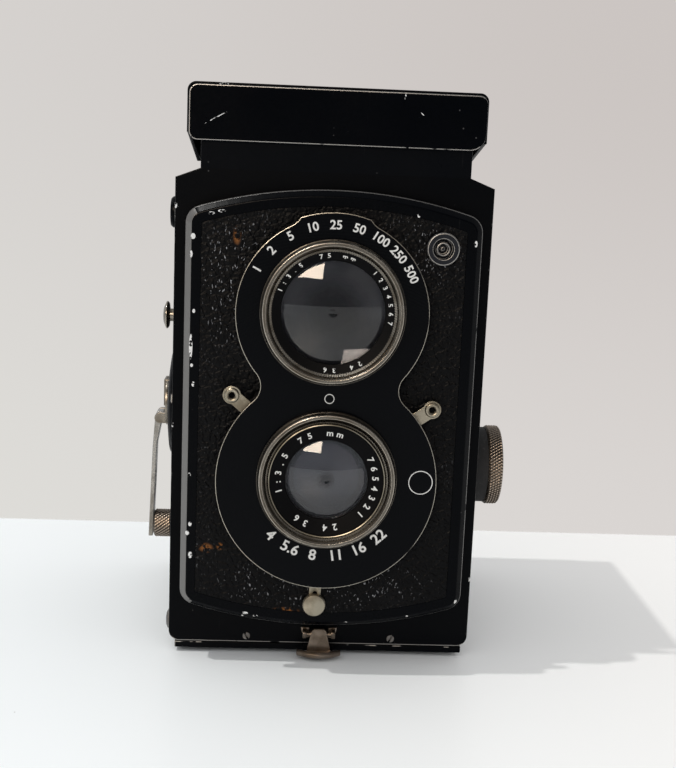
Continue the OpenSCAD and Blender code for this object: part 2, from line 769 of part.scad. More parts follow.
// Outline of a lens barrel with its bezel over the face plate, in radius and Y
module barrel_outline(glass_r, tube_r, bezel_r, end) {
    floor_y = bezel_front + 2.8;
    polygon([
        [glass_r, floor_y], [bezel_r - 2, floor_y], [bezel_r - 2, bezel_front + 1], [bezel_r - 1.4, bezel_front + 0.6],
        [bezel_r - 1.4, bezel_front], [bezel_r - 0.6, bezel_front], [bezel_r, bezel_front + 1.2], [bezel_r, face_front],
        [tube_r, face_front], [tube_r, end], [glass_r, end]
    ]);
}

module view_barrel() color(nickel) {
    turned(view_z) barrel_outline(view_glass_r, view_tube_r, view_bezel_r, rear_tube_end);
    difference() {
        ytube(face_back, panel_seat, 0, view_z, upper_lobe_r - 3, view_tube_r - 0.5);
        ybar(face_back - 1, panel_seat + 1, 0, take_z, guard_out + 0.2);
    }
}

module view_ring() color(black) turned(view_z) polygon([
    [view_bezel_r - 2.05, bezel_front + 1], [view_bezel_r - 2.05, bezel_front + 2.8], [view_glass_r - 0.6, bezel_front + 2.8],
    [view_glass_r - 0.6, bezel_front + 1.8]
]);

// A glass element between two spherical faces, as an outline in radius and Y
module lens_outline(r, y0, t, front, rear) {
    front_rad = (r * r + front * front) / (2 * front);
    rear_rad = (r * r + rear * rear) / (2 * rear);
    intersection() {
        translate([0, y0 - front - 1]) square([r, t + front + rear + 2]);
        translate([0, y0 - front + front_rad]) circle(front_rad, $fn = 400);
        translate([0, y0 + t + rear - rear_rad]) circle(rear_rad, $fn = 1600);
    }
}

module view_glass() color(glass) turned(view_z) lens_outline(view_glass_r, bezel_front + 3.2, 4, 2.3, 0.8);

// Drum of the shutter behind the face plate, with the guard ring that carries the plate
module shutter_case() color(dark) difference() {
    union() {
        turned(take_z) difference() {
            union() {
                translate([0, case_front]) square([case_r, case_back - case_front]);
                translate([guard_in, face_back]) square([guard_out - guard_in, panel_seat - face_back]);
                translate([rear_tube_r - 2, case_back - eps]) square([2, rear_tube_end - case_back]);
            }
            translate([0, case_front + case_wall]) square([case_r - 1.5, case_back - case_front - 2 * case_wall]);
            translate([0, case_front - 1]) square([shutter_hole_r, case_wall + 2]);
            translate([0, case_back - case_wall - eps]) square([rear_tube_r - 2, 10]);
        }
        for (i = [0:2]) blade_place(i) ybar(case_front + case_wall - eps, case_back - case_wall + eps, blade_pivot_at, 0, blade_pin_r);
    }
    slab(face_back - 1, case_front) {
        lever_sweep(aperture_at - 10, aperture_at + 42, case_r + 5);
        lever_sweep(speed_at - 40, speed_at + 10, case_r + 5);
        lever_sweep(release_dir - 10, release_dir + 35, case_r + 5);
    }
}

// The three shutter blades lie in their own layers about the taking axis
module blade_place(i) {
    translate([0, 0, take_z]) rotate([0, -90 - 120 * i, 0]) children();
}

module shutter_blade(i) color(steel) {
    y0 = case_front + case_wall + 0.35 + i * (blade_t + blade_gap);
    blade_place(i) difference() {
        slab(y0, y0 + blade_t) {
            translate([paddle_at, 0]) circle(paddle_r);
            translate([paddle_at, -1.8]) square([blade_pivot_at - paddle_at, 3.6]);
            translate([blade_pivot_at, 0]) circle(2.2);
        }
        ybar(y0 - 1, y0 + 1, blade_pivot_at, 0, blade_pin_r + run);
    }
}

module take_barrel() color(nickel) turned(take_z) barrel_outline(take_glass_r, take_tube_r, take_bezel_r, case_front);

module take_ring() color(black) turned(take_z) polygon([
    [take_bezel_r - 2.05, bezel_front + 0.9], [take_bezel_r - 2.05, bezel_front + 2.8], [take_glass_r - 0.6, bezel_front + 2.8],
    [take_glass_r - 0.6, bezel_front + 2.4]
]);

module take_glass() color(glass) turned(take_z) lens_outline(take_glass_r, bezel_front + 3.4, 2.6, 2.4, 0.3);

module sync_socket() color(nickel) translate([socket_x, 0, socket_z]) {
    rotate([-90, 0, 0]) rotate_extrude() polygon([
        [2.6, panel_front - 1.5], [3.9, panel_front - 1.5], [4.1, panel_front - 1.2], [4.1, panel_seat], [3, panel_seat],
        [2.95, tray_y - 0.5], [0, tray_y - 0.5], [0, tray_y - 1], [2.6, tray_y - 1]
    ]);
    ytube(panel_front - 1.1, tray_y - 1 + eps, 0, 0, 1.7, 1.35);
    ybar(panel_front, tray_y - 1 + eps, 0, 0, 0.5);
}

module guide_posts() color(steel) at_posts() ybar(tray_y, tray_y + post_len, 0, 0, post_r);

// Bar from the panel to the pin that rides on the focus cam
module focus_follower() color(steel) {
    xbar(cam_x0, cam_x1, follower_y, knob_z, follower_r);
    follower_foot(follower_y);
}

// A shutter lever: a ring on the lens tube, an arm under the face plate, and a tab beyond it
module shutter_lever(layer, at, reach, arm_w, rivet_hole) {
    y1 = case_front - 0.15 - layer * lever_pitch;
    translate([0, 0, take_z]) rotate([0, -at, 0]) difference() {
        slab(y1 - lever_t, y1) {
            circle(lever_ring_r);
            translate([take_tube_r + 1, -arm_w / 2]) square([reach - take_tube_r - 1, arm_w]);
            children();
        }
        ybar(y1 - 5, y1 + 5, 0, 0, take_tube_r + run);
        ybar(y1 - 5, y1 + 5, lever_tab_at, 0, rivet_hole);
    }
}

// Hollow rivet on a lever's tab
module tab_rivet(layer, at) {
    y1 = case_front - 0.15 - layer * lever_pitch - lever_t;
    translate([0, 0, take_z]) rotate([0, -at, 0]) translate([lever_tab_at, 0, 0]) rotate([-90, 0, 0]) rotate_extrude() polygon([
        [0.8, y1 - 0.3], [1.2, y1 - 0.6], [1.6, y1 - 0.6], [1.9, y1 - 0.3], [1.9, y1 + eps], [0.8, y1 + eps]
    ]);
}

module aperture_lever() color(nickel) {
    shutter_lever(2, aperture_at, lever_tab_at, 3.6, 0.8) translate([lever_tab_at, 0]) circle(tab_r);
    tab_rivet(2, aperture_at);
}

module speed_lever() color(nickel) {
    shutter_lever(1, speed_at, lever_tab_at, 3.6, 0.8) translate([lever_tab_at, 0]) circle(tab_r);
    tab_rivet(1, speed_at);
}

module release_lever() color(nickel) {
    shutter_lever(0, release_dir, release_at, 3, 0.6);
    translate([0, 0, take_z]) rotate([0, -release_dir, 0])
        ybar(case_front - lever_t - 1.4, case_front - 0.15, release_at, 0, release_r);
}

// Focus drive on the right side

module focus_knob() color(brass) translate([knob_x + collar_len, knob_y, knob_z]) rotate([0, 90, 0])
    rotate_extrude() polygon([
        [shaft_r, 0], [knob_r, 0], [knob_r, band_len - 0.8], [knob_r - 0.8, band_len], [shaft_r, band_len]
    ]);

module focus_collar() color(black) translate([knob_x, knob_y, knob_z]) rotate([0, 90, 0])
    rotate_extrude() polygon([
        [shaft_r, 0], [collar_r, 0], [collar_r, collar_len], [shaft_r, collar_len]
    ]);

// Spiral of the cam: its radius at the follower grows evenly with the knob's turn
cam_hold = 15;
function cam_pitch(t) = cam_low + follower_r + pass / 2 + cam_rate * max(0, min(cam_turn, t));
function cam_point(t) = let (
    p = cam_pitch(t),
    slope = (t < 0 || t > cam_turn) ? 0 : atan(cam_rate * 180 / PI / p),
    a = 180 - t,
    back = follower_r + pass / 2
) [p * cos(a) - back * cos(a + slope), p * sin(a) - back * sin(a + slope)];

module focus_cam() color(steel) {
    rib(cam_x0, cam_x1) translate([knob_y, knob_z])
        polygon([for (t = [-cam_hold:5:cam_turn + cam_hold]) cam_point(t)]);
    xbar(cam_x0 - 0.6, knob_x + collar_len + band_len, knob_y, knob_z, shaft_r);
}

// Crank and winding on the left side

module crank_hub() color(nickel) {
    xbar(-hub_x - hub_t, -pocket_x - 0.4, crank_y, crank_z, shaft_r);
    xbar(-hub_x - hub_t, -hub_x, crank_y, crank_z, 7);
    translate([0, crank_y, 0]) {
        for (sy = [-1, 1]) {
            ybar(min(sy * (fold_half + 0.2), sy * (fold_half + 1.8)), max(sy * (fold_half + 0.2), sy * (fold_half + 1.8)),
                -fold_x, fold_z, fold_r);
            block([-fold_x, min(sy * (fold_half + 0.2), sy * (fold_half + 1.8)), fold_z - fold_r],
                [-hub_x, max(sy * (fold_half + 0.2), sy * (fold_half + 1.8)), fold_z + fold_r]);
        }
        ybar(-fold_half - 1, fold_half + 1, -fold_x, fold_z, fold_pin_r);
        block([-hub_x - hub_t - 0.7, -3, crank_z - 1], [-hub_x, 3, crank_z + 6.6]);
    }
}

module crank_gear() color(brass) difference() {
    rib(gear_x0, gear_x0 + gear_t) translate([crank_y, crank_z]) rotate(gear_line) polygon(gear_points(crank_teeth));
    xbar(gear_x0 - 1, gear_x0 + gear_t + 1, crank_y, crank_z, shaft_r);
}

module crank_arm() color(nickel) translate([0, crank_y, 0]) {
    difference() {
        union() {
            ybar(-fold_half, fold_half, -fold_x, fold_z, fold_r);
            slab(-fold_half, fold_half) polygon([
                [-fold_x + 0.6, fold_z], [-fold_x - fold_r, fold_z], [-arm_x - arm_t, fold_z - 9],
                [-arm_tip_x - arm_t, handle_z - 3.4], [-arm_tip_x, handle_z - 3.4], [-arm_x, fold_z - 8]
            ]);
        }
        ybar(-fold_half - 1, fold_half + 1, -fold_x, fold_z, fold_pin_r + run);
    }
    xbar(-arm_tip_x - arm_t / 2, -arm_tip_x + handle_len + 0.4, 0, handle_z, 1.2);
}

module crank_handle() color(brass) translate([-arm_tip_x + 0.4, crank_y, handle_z]) rotate([0, 90, 0])
    rotate_extrude() polygon([
        [1.2 + run, 0], [handle_r - 0.4, 0], [handle_r, 0.4], [handle_r, handle_len - 0.4],
        [handle_r - 0.4, handle_len], [1.2 + run, handle_len]
    ]);

module take_up_spool() color(dark) difference() {
    union() {
        xbar(-inner_x + 0.5, inner_x - 0.5, spool_y, spool_z, core_r);
        for (x = [-inner_x + 0.5, inner_x - 1.6]) xbar(x, x + 1.1, spool_y, spool_z, flange_r);
    }
    xbar(-inner_x, -inner_x + 6, spool_y, spool_z, pivot_r);
    xbar(-inner_x + 6 - eps, inner_x, spool_y, spool_z, pivot_r + run);
    block([-8, spool_y - core_r - 1, spool_z - 0.8], [8, spool_y + core_r + 1, spool_z + 0.8]);
}

module spool_gear() color(brass) {
    rib(gear_x0, gear_x0 + gear_t) translate([spool_y, spool_z])
        rotate(gear_line + 180 + 180 / spool_teeth) polygon(gear_points(spool_teeth));
    xbar(-recess_x + 0.1, -inner_x + 6, spool_y, spool_z, pivot_r);
}

module counter_dial() color([0.85, 0.85, 0.82]) {
    xbar(-recess_x + 0.3, -recess_x + 1.1, counter_y, dial_z, dial_r);
    xbar(-recess_x + 1, -pocket_x - 0.2, counter_y, dial_z, 1.2);
}

module counter_button() color(nickel) translate([-button_x, crank_y, button_z]) rotate([0, 90, 0]) {
    rotate_extrude() polygon([
        [0, 0], [button_r * 0.55, 0.25], [button_r, 1], [button_r, 1.4], [button_r - 0.6, 1.8], [button_neck_r, 2],
        [button_neck_r, button_x - recess_x + 0.6], [0, button_x - recess_x + 0.6]
    ]);
}

module upper_spool_knob() spool_knob(spool_y, spool_z);

module lower_spool_knob() spool_knob(supply_y, supply_z);

// A flat knob whose shaft carries one end of a film spool
module spool_knob(y, z) color(black) {
    translate([half_w + 0.5, y, z]) rotate([0, 90, 0]) rotate_extrude() polygon([
        [0, 0], [7.4, 0], [8, 0.6], [8, 2.4], [7, 3.2], [0, 3.6]
    ]);
    xbar(inner_x - 5, half_w + 0.6, y, z, pivot_r);
}

// The hinged back

module back_door() color(black) {
    block([-half_w, door_y0, door_z0], [half_w, door_y1, hinge_z - knuckle_r - 0.4]);
    both() difference() {
        union() {
            xbar(knuckle_half + pass, hinge_half, hinge_y, hinge_z, knuckle_r);
            block([knuckle_half + pass, door_y0, hinge_z - knuckle_r - 1], [hinge_half, door_y1, hinge_z]);
        }
        xbar(0, half_w, hinge_y, hinge_z, door_pin_r + run);
    }
}

// Base that swings with the back, with four pressed feet and the edge that the latch catches
module base_plate() color(black) {
    difference() {
        block([-half_w + base_step, front_y, door_z0], [half_w - base_step, door_y0, door_z1]);
        translate([0, 0, door_z0 - 1]) cylinder(h = 5, r = tripod_r + 2);
    }
    block([-4, catch_y, door_z0 + 0.2], [4, front_y + 1, door_z1]);
    for (sx = [-1, 1], y = [front_y + 7, rear_y - 7]) translate([sx * (half_w - 8), y, 0]) rotate_extrude() polygon([
        [0, 0], [foot_r - 0.5, 0], [foot_r, 0.4], [foot_r, door_z0 + eps], [0, door_z0 + eps]
    ]);
}

module door_leather() color(leather) block(
    [-half_w + side_rim, door_y1, door_z0 + side_rim], [half_w - side_rim, door_y1 + leather_t, hinge_z - knuckle_r - 3]);

module pressure_plate() color(black)
    block([-inner_x + 1.5, film_y + plate_gap, take_z - gate / 2 - 5],
        [inner_x - 1.5, film_y + plate_gap + 1.2, take_z + gate / 2 + 1]);

// Two leaf springs between the back and the pressure plate
module pressure_springs() color(steel) both() {
    rib(12, 20) polygon([
        [film_y + plate_gap + 1.2, take_z - 8], [film_y + plate_gap + 1.2, take_z + 8],
        [door_y0, take_z + 20], [door_y0, take_z + 18.6], [film_y + plate_gap + 1.6, take_z + 6.6],
        [film_y + plate_gap + 1.6, take_z - 6.6], [door_y0, take_z - 18.6], [door_y0, take_z - 20]
    ]);
}

module tripod_bush() color(nickel) difference() {
    union() {
        cylinder(h = tripod_h, r = tripod_r + 1.95);
        translate([0, 0, door_z1]) cylinder(h = 1, r = tripod_r + 4);
    }
    translate([0, 0, -1]) cylinder(h = tripod_h + 2, r = tripod_r);
}

// Latch that holds the back: its toe catches the back's front edge from below and in front
module latch_lever() color(nickel) {
    lip_y = latch_y - 1.9;
    lip_back = lip_y + sqrt(lip_r * lip_r - lip_w * lip_w / 4);
    difference() {
        union() {
            xbar(-tongue_w / 2 + 0.9, tongue_w / 2 - 0.9, latch_y, latch_z, 1.2);
            slab(latch_y - 1.2, latch_y - 1.2 + tongue_t) polygon([
                [-tongue_w / 2, 1.4], [tongue_w / 2, 1.4], [tongue_w / 2 - 0.1, 3], [tongue_w / 2 - 0.9, latch_z],
                [tongue_w / 2 - 1.3, latch_z + 1.4], [tongue_w / 2 - 1.8, latch_z + 1.8], [-tongue_w / 2 + 1.8, latch_z + 1.8],
                [-tongue_w / 2 + 1.3, latch_z + 1.4], [-tongue_w / 2 + 0.9, latch_z], [-tongue_w / 2 + 0.1, 3]
            ]);
        }
        xbar(-half_w, half_w, latch_y, latch_z, latch_pin_r + run);
    }
    intersection() {
        translate([0, lip_back, 0]) rotate_extrude() polygon([
            [lip_r - 3.4, 0.9], [lip_r - 0.6, 0.9], [lip_r, 1.4], [lip_r, 2.2], [lip_r - 0.5, 2.7], [lip_r - 1, 2.5], [lip_r - 3.4, 1.7]
        ]);
        block([-lip_w / 2, lip_y - 4, 0], [lip_w / 2, latch_y - 1, 4]);
    }
    block([-tongue_w / 2, latch_y - 1.2, 0.3], [tongue_w / 2, catch_y + 0.3, 1.1]);
    block([-tongue_w / 2, latch_y - 1.2, 0.3], [tongue_w / 2, latch_y - 0.4, 1.5]);
}

// Hood on top of the neck

module hood_base() color(black) {
    difference() {
        block([-neck_half, front_y, neck_z], [neck_half, hood_rear, neck_z + 0.7]);
        block([-flap_x + 1.5, front_y + 6, neck_z - 1], [flap_x - 1.5, hood_rear - 4.5, neck_z + 2]);
    }
    block([-neck_half, front_y, neck_z], [neck_half, front_y + base_t, lid_hinge_z - 1.5]);
    block([-pin_half / 2, front_y, lid_hinge_z - 2.4], [pin_half / 2, lid_hinge_y + 0.7, lid_hinge_z - 1.3]);
    block([-pin_half / 2, lid_hinge_y - 0.7, lid_hinge_z - 2.4], [pin_half / 2, lid_hinge_y + 0.7, lid_hinge_z - 0.3]);
    xbar(-pin_half / 2, pin_half / 2, lid_hinge_y, lid_hinge_z, hood_knuckle_r);
    xbar(-pin_half, pin_half, lid_hinge_y, lid_hinge_z, hood_pin_r);
    both() for (y = [flap_y0 - 1.3, flap_y1 + 0.3])
        block([flap_x - 0.9, y, neck_z], [flap_x + 0.9, y + 1, flap_z + 0.9]);
    both() ybar(flap_y0 - 0.6, flap_y1 + 0.6, flap_x, flap_z, hood_pin_r);
    both() block([rear_half + 0.3, rear_flap_y - 0.8, neck_z], [rear_half + 1.3, rear_flap_y + 0.8, rear_flap_z + 0.9]);
    xbar(-rear_half - 0.5, rear_half + 0.5, rear_flap_y, rear_flap_z, hood_pin_r);
}

module nameplate() color(black) slab(front_y - plate_t, front_y)
    difference() {
        round_rect(plate_half, lid_top - 0.8 - plate_h, plate_h, lid_r);
        difference() {
            translate([plate_half - plate_r, lid_top - 0.8 - plate_h]) square([plate_r + 1, plate_r]);
            translate([plate_half - plate_r, lid_top - 0.8 - plate_h + plate_r]) circle(plate_r);
        }
    }

module hood_lid() color(black) {
    difference() {
        slab(lid_y0, lid_y1) {
            round_rect(lid_half, neck_z + 3, lid_top - neck_z - 3, lid_r);
            translate([-lid_half, neck_z + 1.2]) square([2 * lid_half, 6]);
        }
        block([-lid_half + lid_t, lid_y0 - 1, neck_z], [lid_half - lid_t, lid_y1 - lid_t, lid_low]);
        rib(-half_w, half_w) polygon([
            [lid_y0 - 1, neck_z], [lid_y0 - 1, neck_z + 8.6], [lid_y0 + 1, neck_z + 8.6], [front_y + 38, neck_z + 1.4],
            [lid_y1 + 1, neck_z + 1.4], [lid_y1 + 1, neck_z]
        ]);
    }
    both() difference() {
        union() {
            xbar(pin_half / 2 + 0.2, pin_half, lid_hinge_y, lid_hinge_z, hood_knuckle_r);
            block([pin_half / 2 + 0.2, lid_hinge_y - 0.6, lid_hinge_z], [pin_half, lid_hinge_y + 0.6, lid_low + eps]);
        }
        xbar(0, half_w, lid_hinge_y, lid_hinge_z, hood_pin_r + run);
    }
    both() difference() {
        block([loupe_half + 0.3, loupe_y - 1, loupe_z - 1], [loupe_half + 1.3, loupe_y + 1, lid_low + eps]);
        xbar(0, half_w, loupe_y, loupe_z, hood_pin_r + run);
    }
}

// A side flap folded flat, with its front corner cut off so that it clears the lid
module side_flap() difference() {
    union() {
        ybar(flap_y0, flap_y1, flap_x, flap_z, hood_knuckle_r);
        translate([0, 0, flap_z - flap_t / 2]) linear_extrude(flap_t) polygon([
            [flap_x, flap_y0], [flap_x, flap_y1], [0.2, flap_y1], [0.2, flap_y0 + 12], [flap_x - 14, flap_y0]
        ]);
    }
    ybar(flap_y0 - 1, flap_y1 + 1, flap_x, flap_z, hood_pin_r + run);
}

module right_flap() color(black) side_flap();

module left_flap() color(black) mirror([1, 0, 0]) side_flap();

module rear_flap() color(black) difference() {
    union() {
        xbar(-rear_half, rear_half, rear_flap_y, rear_flap_z, hood_knuckle_r);
        translate([0, 0, rear_flap_z - flap_t / 2]) linear_extrude(flap_t) polygon([
            [-rear_half, rear_flap_y], [rear_half, rear_flap_y],
            [rear_half + 2.3 - rear_flap_len, rear_flap_y - rear_flap_len],
            [rear_flap_len - rear_half - 2.3, rear_flap_y - rear_flap_len]
        ]);
    }
    xbar(-half_w, half_w, rear_flap_y, rear_flap_z, hood_pin_r + run);
}

module magnifier_frame() color(black) difference() {
    union() {
        block([-loupe_half, loupe_y - 0.8, loupe_z - loupe_t / 2], [loupe_half, loupe_y + 2 * loupe_half, loupe_z + loupe_t / 2]);
        xbar(-loupe_half - 1.2, loupe_half + 1.2, loupe_y, loupe_z, hood_pin_r);
    }
    translate([0, loupe_y + loupe_half, loupe_z - 2]) cylinder(h = 4, r = loupe_r);
}

module magnifier_lens() color(glass) translate([0, loupe_y + loupe_half, loupe_z]) rotate_extrude()
    lens_outline(loupe_r, -0.4, 0.8, 0.6, 0.6);

body_shell();
top_plate();
side_plates();
side_leathers();
film_gate();
mirror_frame();
reflex_mirror();
focusing_screen();
hood_base();
nameplate();
bushes();
crank_boss();
counter_window();
latch_bracket();
body_screws();
lens_panel();
panel_leather();
face_plate();
view_barrel();
view_ring();
view_glass();
shutter_case();
take_barrel();
take_ring();
take_glass();
sync_socket();
guide_posts();
focus_follower();
aperture_lever();
speed_lever();
release_lever();
shutter_blade(0);  // shutter_blade_1
shutter_blade(1);  // shutter_blade_2
shutter_blade(2);  // shutter_blade_3
focus_knob();
focus_collar();
focus_cam();
crank_hub();
crank_gear();
crank_arm();
crank_handle();
take_up_spool();
spool_gear();
counter_dial();
counter_button();
back_door();
door_leather();
pressure_plate();
pressure_springs();
tripod_bush();
base_plate();
latch_lever();
upper_spool_knob();
lower_spool_knob();
hood_lid();
left_flap();
right_flap();
rear_flap();
magnifier_frame();
magnifier_lens();
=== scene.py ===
import json
import math

import bmesh
import bpy
from mathutils import Matrix, Vector


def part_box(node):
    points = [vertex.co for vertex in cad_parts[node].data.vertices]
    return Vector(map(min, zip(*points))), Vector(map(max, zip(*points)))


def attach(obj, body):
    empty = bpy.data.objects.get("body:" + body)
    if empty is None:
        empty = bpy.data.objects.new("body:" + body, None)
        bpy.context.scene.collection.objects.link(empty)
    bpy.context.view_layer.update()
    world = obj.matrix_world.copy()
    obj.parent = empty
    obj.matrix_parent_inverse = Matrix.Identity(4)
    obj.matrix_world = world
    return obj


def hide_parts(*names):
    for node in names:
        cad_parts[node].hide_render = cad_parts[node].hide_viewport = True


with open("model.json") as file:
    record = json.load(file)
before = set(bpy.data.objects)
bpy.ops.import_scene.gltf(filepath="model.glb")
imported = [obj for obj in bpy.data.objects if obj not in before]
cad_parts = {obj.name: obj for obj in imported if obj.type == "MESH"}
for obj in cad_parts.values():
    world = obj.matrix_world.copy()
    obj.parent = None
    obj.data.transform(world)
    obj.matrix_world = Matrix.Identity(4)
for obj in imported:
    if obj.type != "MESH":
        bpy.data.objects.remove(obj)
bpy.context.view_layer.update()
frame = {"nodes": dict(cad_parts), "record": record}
scene = bpy.context.scene
scene.view_settings.view_transform = "Standard"


# Standpoint: a hand-held phone a third of a metre away, left of the middle and above the lenses.
# Turn, tilt and roll come from lines of the picture, whose frame is 676 by 768.
def standpoint(place, turn, tilt, roll):
    facing = Matrix(((1, 0, 0), (0, 0, -1), (0, 1, 0))).to_4x4()
    turned = Matrix.Rotation(math.radians(turn), 4, "Z") @ Matrix.Rotation(math.radians(tilt), 4, "X")
    return Matrix.Translation(place) @ turned @ facing @ Matrix.Rotation(math.radians(roll), 4, "Z")


eye = bpy.data.objects.new("eye", bpy.data.cameras.new("eye"))
film_mm = 36
focal_pixels = 1200
tall_pixels = 768
eye.data.sensor_width = film_mm
eye.data.lens = film_mm * focal_pixels / tall_pixels
eye.data.clip_start = 0.01
eye.matrix_world = standpoint((-0.0123, -0.3405, 0.131), -2.79, -10.63, 2.34)
scene.collection.objects.link(eye)
scene.camera = eye


# Table and room: a white laminate table whose far edge lies just behind the object, a pale wall,
# a lamp high on the left that throws the shadow to the right, and a window that the lenses mirror.
MM = 0.001


class Wire:
    """A shader socket that takes part in sums, each of which adds its own node."""

    def __init__(self, tree, socket=None):
        self.tree = tree
        self.socket = socket

    def node(self, kind, settings=None, sockets=None, out=0):
        made = self.tree.nodes.new(kind)
        for name, value in (settings or {}).items():
            setattr(made, name, value)
        for name, value in (sockets or {}).items():
            self.join(made.inputs[name], value)
        return Wire(self.tree, made.outputs[out])

    def join(self, target, value):
        if isinstance(value, Wire):
            self.tree.links.new(value.socket, target)
        else:
            target.default_value = value

    def sum(self, operation, first, second=0.0):
        return self.node("ShaderNodeMath", {"operation": operation}, {0: first, 1: second})

    def __add__(self, other):
        return self.sum("ADD", self, other)

    def __radd__(self, other):
        return self.sum("ADD", other, self)

    def __sub__(self, other):
        return self.sum("SUBTRACT", self, other)

    def __rsub__(self, other):
        return self.sum("SUBTRACT", other, self)

    def __mul__(self, other):
        return self.sum("MULTIPLY", self, other)

    def __rmul__(self, other):
        return self.sum("MULTIPLY", other, self)

    def most(self, other):
        return self.sum("MAXIMUM", self, other)

    def ease(self, low, high):
        """0 below low and 1 above high, with a soft step between."""
        limits = {"Value": self, "From Min": low, "From Max": high}
        return self.node("ShaderNodeMapRange", {"interpolation_type": "SMOOTHSTEP"}, limits)

    def tint(self, dull, bright):
        """A colour between two others, by this value."""
        return self.node("ShaderNodeMix", {"data_type": "RGBA"}, {0: self, 6: dull, 7: bright}, 2)

    def part(self, axis):
        return self.node("ShaderNodeSeparateXYZ", None, {0: self}, axis)

    def length(self):
        return self.node("ShaderNodeVectorMath", {"operation": "LENGTH"}, {0: self}, "Value")

    def worn(self):
        """How far the mesh says that this place is worn, from 0 to 1; on the panel's left rim it marks a
        painted highlight.
        """
        return self.node("ShaderNodeAttribute", {"attribute_name": "wear"}, None, "Fac")

    def moved(self, shift=(0, 0, 0), scale=(1, 1, 1)):
        return self.node("ShaderNodeMapping", None, {"Vector": self, "Location": shift, "Scale": scale})

    def noise(self, scale, detail=2.0, rough=0.5):
        grade = {"Scale": scale, "Detail": detail, "Roughness": rough}
        return self.node("ShaderNodeTexNoise", None, {"Vector": self, **grade})

    def cells(self, scale, feature="F1"):
        spread = {"Vector": self, "Scale": scale}
        return self.node("ShaderNodeTexVoronoi", {"feature": feature}, spread, "Distance")

    def near(self, spot, reach, turn=0.0):
        """1 at a spot in millimetres and 0 beyond its reach along each axis, turned about Y in degrees."""
        place = tuple(MM * s for s in spot)
        size = tuple(MM * r for r in reach)
        frame_of = {"Vector": self, "Location": place, "Rotation": (0, math.radians(turn), 0), "Scale": size}
        shape = self.node("ShaderNodeMapping", {"vector_type": "TEXTURE"}, frame_of)
        return 1 - shape.length().ease(0.35, 1.0)

    def relief(self, depth, strength=1.0):
        return self.node("ShaderNodeBump", None, {"Height": self, "Distance": depth, "Strength": strength})


def shade(tone, share):
    """A colour made darker or brighter, up to white."""
    return tuple(min(1.0, share * c) for c in tone[:3]) + (1,)


def new_finish(name):
    """A material with its shader, and the wire of its Object coordinates."""
    finish = bpy.data.materials.new(name)
    finish.use_nodes = True
    tree = finish.node_tree
    shader = tree.nodes["Principled BSDF"]
    return finish, shader, Wire(tree).node("ShaderNodeTexCoord", out="Object")


def dress(shader, wire, sockets):
    for name, value in sockets.items():
        wire.join(shader.inputs[name], value)


def table_finish():
    finish, shader, spot = new_finish("white_laminate")
    speck = (1 - spot.cells(160).ease(0.03, 0.05)) * spot.noise(35).ease(0.62, 0.66)
    tone = spot.part(0).ease(-0.1, 0.15).tint((0.87, 0.90, 0.905, 1), (0.87, 0.86, 0.84, 1))
    dress(shader, spot, {
        "Base Color": speck.tint(tone, (0.25, 0.23, 0.2, 1)),
        "Roughness": 0.30 + 0.1 * spot.noise(60),
        "Alpha": 1 - spot.part(1).ease(0.0755, 0.0775),
        "Specular IOR Level": 0.3,
    })
    return finish


table_mesh = bmesh.new()
bmesh.ops.create_grid(table_mesh, x_segments=2, y_segments=2, size=2.5)
table_data = bpy.data.meshes.new("table")
table_mesh.to_mesh(table_data)
table_mesh.free()
table = bpy.data.objects.new("table", table_data)
scene.collection.objects.link(table)
table_data.materials.append(table_finish())


def lamp(name, place, aim, size, power, mirrored_only=False):
    light = bpy.data.lights.new(name, "AREA")
    light.color = (1.0, 0.84, 0.68) if mirrored_only else (1.0, 0.99, 0.97)
    light.shape = "RECTANGLE"
    light.size, light.size_y = size
    light.energy = power
    made = bpy.data.objects.new(name, light)
    way = Vector(aim) - Vector(place)
    made.matrix_world = Matrix.Translation(place) @ way.to_track_quat("-Z", "Y").to_matrix().to_4x4()
    made.visible_diffuse = not mirrored_only
    scene.collection.objects.link(made)


lamp("ceiling_lamp", (-2.1, -0.26, 5.0), (0, 0, 0.05), (0.08, 0.08), 92.0)
lamp("window", (-0.30, -0.91, 0.54), (0, -0.05, 0.09), (0.42, 0.26), 7.5, True)

room = bpy.data.worlds.new("room")
room.use_nodes = True
scene.world = room
sky = Wire(room.node_tree).node("ShaderNodeTexCoord", out="Generated")
rays = room.node_tree.nodes.new("ShaderNodeLightPath")
seen = Wire(room.node_tree, rays.outputs["Is Camera Ray"])
through = Wire(room.node_tree, rays.outputs["Is Transmission Ray"])
mirrored = Wire(room.node_tree, rays.outputs["Is Glossy Ray"]).most(through)
side = sky.part(0).ease(-0.32, 0.28)
low = side.tint((0.73, 0.72, 0.69, 1), (0.70, 0.67, 0.65, 1))
high = side.tint((0.67, 0.645, 0.625, 1), (0.60, 0.56, 0.54, 1))
wall = sky.part(2).ease(-0.32, 0.10).tint(low, high)
dusk = sky.part(2).ease(-0.1, 0.5).tint((0.19, 0.19, 0.20, 1), (0.03, 0.03, 0.034, 1))
behind_eye = sky.part(1).ease(-0.75, 0.25).tint(dusk, (0.6, 0.6, 0.6, 1))
lit = mirrored.tint((0.88, 0.88, 0.89, 1), behind_eye)
sky.join(room.node_tree.nodes["Background"].inputs["Color"], seen.tint(lit, wall))


# Casting: one die-cast aluminium box open at the back and bottom, stoved in black enamel that has
# worn through to bright metal along its edges. Its neck plate on top carries the hood.
HARD = math.radians(32)


